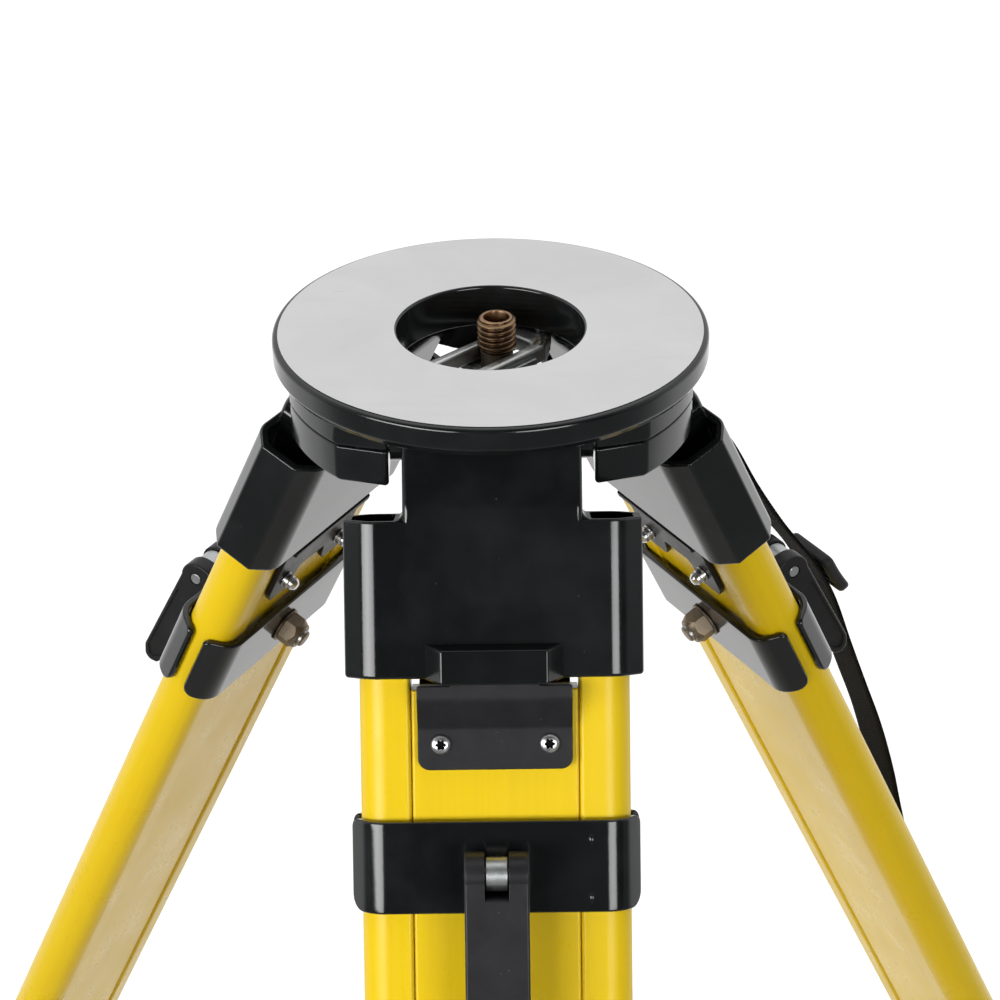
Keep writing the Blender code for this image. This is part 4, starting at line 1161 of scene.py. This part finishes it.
def build_stop_screw(x):
    profile = soft_profile([(0, 15.7, 0), (2.5, 15.6, 3.0), (3.6, 14.8, 1.0), (3.86, 13.62, 0.2), (2.0, 13.62, 0), (2.0, -13.2, 0), (0, -13.2, 0)], 6)
    obj = as_object("stop_screw", turned(profile, 48, "y", closed=False), "chrome")
    boolean(obj, plate(star(2.15, 1.35), 14.1, 18.0, "y", 0.0), "DIFFERENCE")
    settle(obj, 0.0, smooth=30.0)
    nut = as_object("dome", turned(soft_profile([(0, -13.25, 0), (3.3, -13.25, 0.2), (3.3, -15.6, 0.3), (3.05, -16.3, 0.6), (2.95, -17.6, 1.4), (1.8, -19.2, 1.2), (0, -19.65, 0)], 7), 48, "y", closed=False), "chrome")
    washer = turned(soft_profile([(2.1, -13.0, 0), (3.5, -13.0, 0.25), (3.5, -13.9, 0.25), (2.1, -13.9, 0)], 4), 48, "y")
    boolean(nut, washer, "UNION")
    settle(nut, 0.0)
    # painted shade: the faces inside the driver recess get black enamel in place of the shade that falls in the recess
    paint_faces(obj, "black", lambda f: 14.0 * MM < f.center.y < 15.2 * MM and math.hypot(f.center.x, f.center.z) < 2.1 * MM)
    for o in (obj, nut):
        o.data.transform(Matrix.Translation(Vector((x, 0, z_at(140))) * MM))
    return obj, nut


for side, label in ((-1, "left"), (1, "right")):
    head_part, nut_part = build_stop_screw(side * 20.7)
    for_each_leg(head_part, f"stop_screw_{label}_pan_head", "lower_leg", f"stop_screw_{label}")
    for_each_leg(nut_part, f"stop_screw_{label}_dome_nut", "lower_leg")

# ---------------------------------------------------------------- clamp plates: path in (x, y), v along z
for sign, label in ((1, "outer"), (-1, "inner")):
    path = [(-54.47, sign * 3.34), (-47.06, sign * 13.9), (47.06, sign * 13.9), (54.47, sign * 3.34)]
    route, lengths = bend_path(path, 10.2, 12)
    mid = lengths[-1] / 2
    z0, z1 = z_at(CLAMP_S + 17.75), z_at(CLAMP_S - 17.75)
    blank = rounded([(-mid, z0, 6.4), (mid, z0, 6.4), (mid, z1, 3.0), (-mid, z1, 3.0)], 8)
    clamp = bent_sheet("clamp", blank, 3.0, path, 10.2, "black", [circle(4.3, 32, (0, z_at(CLAMP_S)))], 0.9)
    shade(clamp)
    for_each_leg(clamp, f"clamp_plate_{label}_pressed", "lower_leg", f"clamp_plate_{label}", frames=CLAMP_M)

# small weld nibs on the outer clamp plate
for k, s in enumerate((172.6, 195.0)):
    nib = bmesh.new()
    bmesh.ops.create_uvsphere(nib, u_segments=24, v_segments=14, radius=1.0)
    for v in nib.verts:
        v.co = Vector((-36.2 + v.co.x * 1.2, 15.3 + v.co.y * 0.85, z_at(s) + v.co.z * 2.0))
    nib = as_object("nib", nib, "black")
    shade(nib, 60.0, False)
    for_each_leg(nib, f"clamp_nib_{k}", "lower_leg", frames=CLAMP_M)

# ---------------------------------------------------------------- clamp bolt, nut, washer, lever
bolt = as_object("bolt", turned(soft_profile([(0, 23.5, 0), (4.0, 23.5, 0), (4.0, -26.3, 0.3), (3.3, -27.0, 0.3), (0, -27.0, 0)], 3), 40, "y", (0, 0, z_at(183)), closed=False), "steel")
eye = rounded([(20.6, -4.6, 1.0), (33.4, -4.6, 0.6), (33.4, 4.6, 0.6), (20.6, 4.6, 1.0)], 3)
boolean(bolt, plate([(27.0 + x, z_at(183) + z) for x, z in circle(6.4, 48)], -4.2, 4.2, "x", 0.5), "UNION")
boolean(bolt, plate(circle(2.6, 28, (27.0, z_at(183))), -12.0, 12.0, "x", 0.4), "UNION")
settle(bolt, 0.0)
paint_faces(bolt, "bronze_dark", lambda f: f.center.y < -16.0 * MM)
for_each_leg(bolt, "clamp_t_bolt", "lower_leg", "clamp_bolt", frames=CLAMP_M)


def build_nut():
    nut = as_object("nut", plate(circle(7.5, 6, (0, z_at(183))), -25.0, -16.6, "y", 0.0), "bronze_dark")
    cone = turned([(0, -16.2), (6.7, -16.2), (7.6, -17.2), (7.6, -21.6), (6.3, -23.6), (5.9, -24.7), (5.5, -25.0), (0, -25.0)], 64, "y", (0, 0, z_at(183)), closed=False)
    boolean(nut, cone, "INTERSECT")
    boolean(nut, turned([(0, -30), (4.2, -30), (4.2, -10), (0, -10)], 32, "y", (0, 0, z_at(183)), closed=False), "DIFFERENCE")
    return settle(nut, 0.25, 2, 30.0, 30.0)


for_each_leg(build_nut(), "clamp_hex_nut", "lower_leg", "clamp_nut", frames=CLAMP_M)
washer = as_object("washer", turned(soft_profile([(4.25, -15.6, 0.1), (8.2, -15.6, 0.25), (8.2, -16.5, 0.25), (4.25, -16.5, 0.1)], 3), 48, "y", (0, 0, z_at(183))), "bronze_dark")
shade(washer)
for_each_leg(washer, "clamp_washer", "lower_leg", frames=CLAMP_M)


def build_lever():
    drop = 183.0 - 242.0
    cam = []
    for a in range(-12, 252, 6):
        swell = min(1.0, max(0.0, (a - 70) / 100.0))
        cam.append((*polar(7.6 + 2.6 * swell * swell * (3 - 2 * swell), a), 0))
    body = [(-1.8, -16.0, 3.0), (-1.6, drop + 6, 4.0), (0.6, drop + 1.2, 1.5), (4.4, drop, 3.0), (7.6, drop + 1.6, 3.0), (9.6, drop + 6.5, 4.0), (7.15, -2.6, 0.3)]
    outline = rounded(cam + body, 5)
    lever = as_object("lever", plate(outline, -12.2, 12.2, "x", 1.0, steps=4), "lever")
    channel = rounded([(-9.4, drop + 3.0, 3.0), (9.4, drop + 3.0, 3.0), (9.4, -15.0, 2.0), (-9.4, -15.0, 2.0)], 4)
    boolean(lever, plate(channel, -14.0, 5.4, "y", 1.2, edge_low=0.0), "DIFFERENCE")
    boolean(lever, plate([(-4.6, -8.2), (4.6, -8.2), (4.6, 14), (-4.6, 14)], -14, 14, "y", 0.0), "DIFFERENCE")
    ledge = [(4.6, -7.6), (12.0, -7.6), (12.0, -11.6)]
    boolean(lever, plate(ledge, -4.6, 4.6, "x", 0.0), "DIFFERENCE")
    boolean(lever, turned([(0, -14), (2.9, -14), (2.9, 14), (0, 14)], 32, "x", closed=False), "DIFFERENCE")
    # shallow panel sunk in each side, leaving a raised border
    panel = rounded([(-0.6, -12.0, 1.2), (-0.2, drop + 7.0, 2.0), (4.4, drop + 2.2, 2.0), (7.9, drop + 7.5, 2.0), (5.6, -10.0, 1.5)], 4)
    for lo, hi in ((-14.0, -11.5), (11.5, 14.0)):
        boolean(lever, plate(panel, lo, hi, "x", 0.0), "DIFFERENCE")
    settle(lever, 0.35, 2, 32.0, 34.0)
    lever.data.transform(Matrix.Translation(Vector((0, 27.0, z_at(183))) * MM))
    return lever


for_each_leg(build_lever(), "cam_lever_cast", "lever", "cam_lever", frames=CLAMP_M)


# ---------------------------------------------------------------- foot
def build_foot():
    specs = [
        (912.0, 35.2, 13.2, 9, 0.0), (912.6, 35.6, 13.6, 9, 0), (930, 35.6, 13.6, 8, 0), (960, 35.6, 13.6, 7, 0), (974, 35.0, 13.6, 6, 0), (985, 32.6, 13.4, 5, 0),
        (994, 26.5, 12.8, 4, 0), (1002, 20.6, 12.0, 3.4, 0), (1008, 17.0, 11.5, 3, 0), (1016, 13.0, 10.8, 2.6, 0), (1024, 10.5, 10.0, 2.2, 0), (1036, 9.4, 9.2, 2.1, 0),
        (1050, 8.3, 8.3, 2, 0), (1060, 6.0, 6.0, 2, 0), (1069, 3.6, 3.6, 2, 0), (1073.6, 2.2, 2.2, 2, 0), (1074.8, 1.3, 1.3, 2, 0), (1075.0, 0.7, 0.7, 2, 0),
    ]
    sides = 64
    rings = []
    for station, hx, hy, power, shift in specs:
        ring = []
        for k in range(sides):
            a = 2 * math.pi * (k + 0.5) / sides
            c, s = math.cos(a), math.sin(a)
            e = 2.0 / power
            ring.append((hx * math.copysign(abs(c) ** e, c), shift + hy * math.copysign(abs(s) ** e, s), z_at(station)))
        rings.append(ring)
    foot = as_object("foot", loft(rings), "foot")
    step = rounded([(-15, 6, 0), (15, 6, 0), (15, 41, 5.0), (11, 46, 3.0), (-11, 46, 3.0), (-15, 41, 5.0)], 5)
    boolean(foot, plate(step, z_at(984), z_at(976), "z", 1.2), "UNION")
    boolean(foot, plate(rounded([(8, z_at(980), 0), (38, z_at(980), 0), (34, z_at(984.5), 4.0), (9, z_at(1012), 3.0)], 5), -3, 3, "x", 0.8), "UNION")
    for k in range(5):  # grip ribs on the pedal
        y = 21.0 + 5.0 * k
        boolean(foot, plate(circle(0.9, 16, (y, z_at(976) + 0.1)), -11.5, 11.5, "x", 0.6), "UNION")
    boolean(foot, plate([(-32.2, -10.3), (32.2, -10.3), (32.2, 10.3), (-32.2, 10.3)], z_at(955.3), z_at(900), "z", 0.0), "DIFFERENCE")
    return settle(foot, 0.5, 2, 34.0, 36.0)


for_each_leg(build_foot(), "foot_cast", "lower_leg", "foot", upright=True)
for k, s in enumerate((926.0, 944.0)):  # rivets that hold the shoe on the board
    rivet = as_object(
        "rivet",
        turned(soft_profile([(0, 15.2, 0), (2.2, 15.0, 2.0), (3.6, 13.7, 0.4), (3.6, 13.2, 0), (0, 13.2, 0)], 5), 32, "y", (0, 0, z_at(s)), closed=False),
        "steel",
    )
    shade(rivet)
    for_each_leg(rivet, f"shoe_rivet_{k}", "lower_leg")

# ================================================================ carrying strap and buckle on the right leg
STRAP_X, STRAP_HALF, STRAP_T = -28.0, 12.5, 2.0
STRAP_PATH = (
    (62, 18.0), (72, 18.6), (84, 24.0), (100, 31.8), (125, 37.2), (155, 39.0), (185, 42.4), (215, 47.8), (240, 49.2), (270, 46.8), (300, 44.5), (330, 42.3),
    (360, 38.0), (390, 32.0), (425, 26.0), (470, 23.0), (530, 22.3), (650, 22.3), (770, 22.3), (812, 21.6), (845, 17.8), (862, 16.9), (885, 16.9),
)


def smooth_path(points, per_span):
    out = []
    pts = [Vector(p) for p in points]
    pts = [2 * pts[0] - pts[1]] + pts + [2 * pts[-1] - pts[-2]]
    for a, b, c, d in zip(pts, pts[1:], pts[2:], pts[3:]):
        for k in range(per_span):
            t = k / per_span
            out.append(0.5 * ((2 * b) + (c - a) * t + (2 * a - 5 * b + 4 * c - d) * t * t + (3 * b - 3 * c + d - a) * t**3))
    out.append(pts[-2])
    return out


def resampled(points, pitch):
    lengths = [0.0]
    for a, b in zip(points, points[1:]):
        lengths.append(lengths[-1] + (b - a).length)
    count = int(lengths[-1] / pitch)
    total = lengths[-1]
    out = []
    j = 0
    for k in range(count + 1):
        u = total * k / count
        while j < len(lengths) - 2 and lengths[j + 1] < u:
            j += 1
        t = (u - lengths[j]) / max(1e-9, lengths[j + 1] - lengths[j])
        out.append((points[j].lerp(points[j + 1], min(1.0, t)), u))
    return out, total


def strap_route(pitch):
    pts, total = resampled(smooth_path(STRAP_PATH, 24), pitch)
    frames = []
    for i, (here, u) in enumerate(pts):
        a = pts[max(i - 3, 0)][0]
        b = pts[min(i + 3, len(pts) - 1)][0]
        run = (b - a).normalized()
        frames.append((here, run, Vector((-run.y, run.x)), u))
    return frames, total


def build_strap():
    frames, total = strap_route(0.52)
    across = 14
    bm = bmesh.new()
    layer = bm.verts.layers.float_vector.new("weave")
    rings = []
    for i, (here, run, normal, u) in enumerate(frames):
        # selvedge loops show as small teeth along both edges; the web waves and twists very slightly
        tooth = 0.28 * math.sin(2 * math.pi * u / 1.05)
        drift = 0.35 * math.sin(u / 47.0) + 0.2 * math.sin(u / 19.0 + 1.0)
        twist = 0.020 * math.sin(u / 70.0 + 0.6)
        ring = []
        top_row, low_row = [], []
        for k in range(across + 1):
            f = -1 + 2 * k / across
            half = STRAP_HALF - 0.45 + tooth * (1 if abs(f) > 0.99 else 0)
            x = f * half
            rim = min(1.0, (1 - abs(f)) * 7.0)
            thick = STRAP_T / 2 * (0.42 + 0.50 * rim)
            weave = 0.07 * math.sin(2 * math.pi * u / 2.1 + (math.pi if (k // 2) % 2 else 0)) * rim
            bow = 0.25 * (1 - f * f)
            top_row.append((x, thick + weave + bow * 0.3, u, f))
            low_row.append((x, -thick - weave + bow * 0.3, u, f))
        for x, n, uu, f in top_row + low_row[::-1]:
            nn = n + x * twist
            p = here + normal * nn
            v = bm.verts.new((STRAP_X + x + drift * 0.25, p.y, z_at(p.x)))
            v[layer] = (uu, x, n)
            ring.append(v)
        rings.append(ring)
    count = len(rings[0])
    for a, b in zip(rings, rings[1:]):
        for i in range(count):
            j = (i + 1) % count
            bm.faces.new((a[i], a[j], b[j], b[i]))
    bm.faces.new(rings[0])
    bm.faces.new(rings[-1])
    return bm, total


bm, STRAP_LENGTH = build_strap()
strap = as_object("carry_strap_webbing", bm, "webbing")
shade(strap, 70.0, False)
mount_piece(strap, LEG_M["right"], "right_upper_leg", ("carry_strap",))


def strap_at(station):
    return min(STRAP_FRAMES, key=lambda f: abs(f[0].x - station))


STRAP_FRAMES, _ = strap_route(1.0)


def strap_place(station, lift=0.0):
    """Frame on the strap: x across, y outward from it, z up along it (leg frame, millimetres)."""
    here, run, normal, _ = strap_at(station)
    p = here + normal * lift
    x = Vector((1, 0, 0))
    z = Vector((0, -run.y, run.x))
    y = z.cross(x)
    m = Matrix((x, y, z)).transposed().to_4x4()
    m.translation = Vector((STRAP_X, p.y, z_at(p.x))) * MM
    return m


def build_buckle():
    """Ladder buckle: side rails, cross bars and a tongue that stands off at its lower end."""
    out = rounded([(-15.3, -12.0, 4.5), (15.3, -12.0, 4.5), (15.3, 12.0, 4.0), (-15.3, 12.0, 4.0)], 6)
    slots = [rounded([(-12.4, lo, 0.9), (12.4, lo, 0.9), (12.4, hi, 0.9), (-12.4, hi, 0.9)], 4) for lo, hi in ((6.0, 9.4), (-0.6, 3.0), (-7.4, -3.6))]
    bm = plate(out, -2.9, 2.9, "y", 2.0, slots, 0.8, 6)
    slice_along(bm, "z", [-11.0, -9.0, -7.0, -5.0, -3.0, -1.0, 1.0, 3.0])
    for v in bm.verts:
        drop = max(0.0, 4.0 - v.co.z)
        v.co.y += 0.006 * drop * drop
        v.co.y += 0.0040 * (v.co.x / 4.0) ** 2
    return bm


buckle = as_object("ladder_buckle", build_buckle(), "plastic")
shade(buckle, 40.0)
buckle.data.transform(strap_place(228.5, 4.1))
mount_piece(buckle, LEG_M["right"], "right_upper_leg", ("strap_buckle",))


def stitching(name, station, width, rows, columns):
    """Box of stitches across the webbing, each a short raised thread."""
    bm = bmesh.new()
    for r in range(rows):
        for c in range(columns):
            x = -width / 2 + width * (c + 0.5) / columns
            z = (r - (rows - 1) / 2) * 3.0
            made = bmesh.ops.create_uvsphere(bm, u_segments=8, v_segments=6, radius=1.0)
            for v in made["verts"]:
                v.co = Vector((x + v.co.x * width / columns * 0.42, 1.12 + v.co.y * 0.28, z + v.co.z * 0.34))
    obj = as_object(name, bm, "yarn")
    shade(obj, 60.0, False)
    obj.data.transform(strap_place(station))
    mount_piece(obj, LEG_M["right"], "right_upper_leg")


stitching("strap_stitching_top", 70.0, 21.0, 3, 9)
stitching("strap_stitching_low", 876.0, 21.0, 3, 9)

# ================================================================ studio
bm = bmesh.new()
bmesh.ops.create_circle(bm, cap_ends=True, segments=96, radius=14.0)
mesh = bpy.data.meshes.new("studio_floor")
bm.to_mesh(mesh)
bm.free()
floor = bpy.data.objects.new("studio_floor", mesh)
SCENE.collection.objects.link(floor)
floor.location.z = CAD_LO[2] - 0.0005
mesh.materials.append(floor_glow_and_shade("studio_floor"))
floor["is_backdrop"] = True


def area_light(name, where, aim, size, power, size_y=None, colour=(1, 1, 1)):
    data = bpy.data.lights.new(name, "AREA")
    data.shape = "RECTANGLE"
    data.size, data.size_y = size, size_y or size
    data.energy = power
    data.color = colour
    obj = bpy.data.objects.new(name, data)
    SCENE.collection.objects.link(obj)
    obj.location = where
    obj.rotation_mode = "QUATERNION"
    obj.rotation_quaternion = (Vector(aim) - Vector(where)).to_track_quat("-Z", "Y")
    return obj


AIM = (0.0, 0.0, 0.90)


def softbox(name, azimuth, distance, height, width, tall, power, aim=AIM, spread=95.0):
    """Gridded panel at an azimuth in degrees from the camera side, positive to the right."""
    a = math.radians(azimuth)
    where = (aim[0] + distance * math.sin(a), aim[1] - distance * math.cos(a), height)
    lamp = area_light(name, where, aim, width, power, tall)
    lamp.data.spread = math.radians(spread)
    return lamp


softbox("softbox_left", -42.0, 2.0, 1.36, 1.75, 0.78, 11.8)
softbox("softbox_right", 27.0, 2.0, 1.36, 1.00, 0.78, 5.2)
area_light("softbox_top", (0.0, 0.7, 2.6), (0.0, 0.2, 0.9), 2.2, 5.0, 1.6)

world = bpy.data.worlds.new("studio")
SCENE.world = world
world.use_nodes = True
tree = world.node_tree
tree.nodes.clear()
out = tree.nodes.new("ShaderNodeOutputWorld")
back = tree.nodes.new("ShaderNodeBackground")
coord = tree.nodes.new("ShaderNodeTexCoord")
sep = tree.nodes.new("ShaderNodeSeparateXYZ")
ramp = tree.nodes.new("ShaderNodeMapRange")
tree.links.new(coord.outputs["Generated"], sep.inputs[0])
tree.links.new(sep.outputs["Y"], ramp.inputs[0])
for i, v in zip((1, 2, 3, 4), (-0.45, 0.30, 0.015, 0.84)):
    ramp.inputs[i].default_value = v
tree.links.new(ramp.outputs[0], back.inputs["Strength"])
back.inputs["Color"].default_value = (1.0, 1.0, 1.0, 1.0)
tree.links.new(back.outputs[0], out.inputs[0])
SCENE.view_settings.view_transform = "Standard"

bpy.context.view_layer.update()
_lo, _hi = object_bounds()
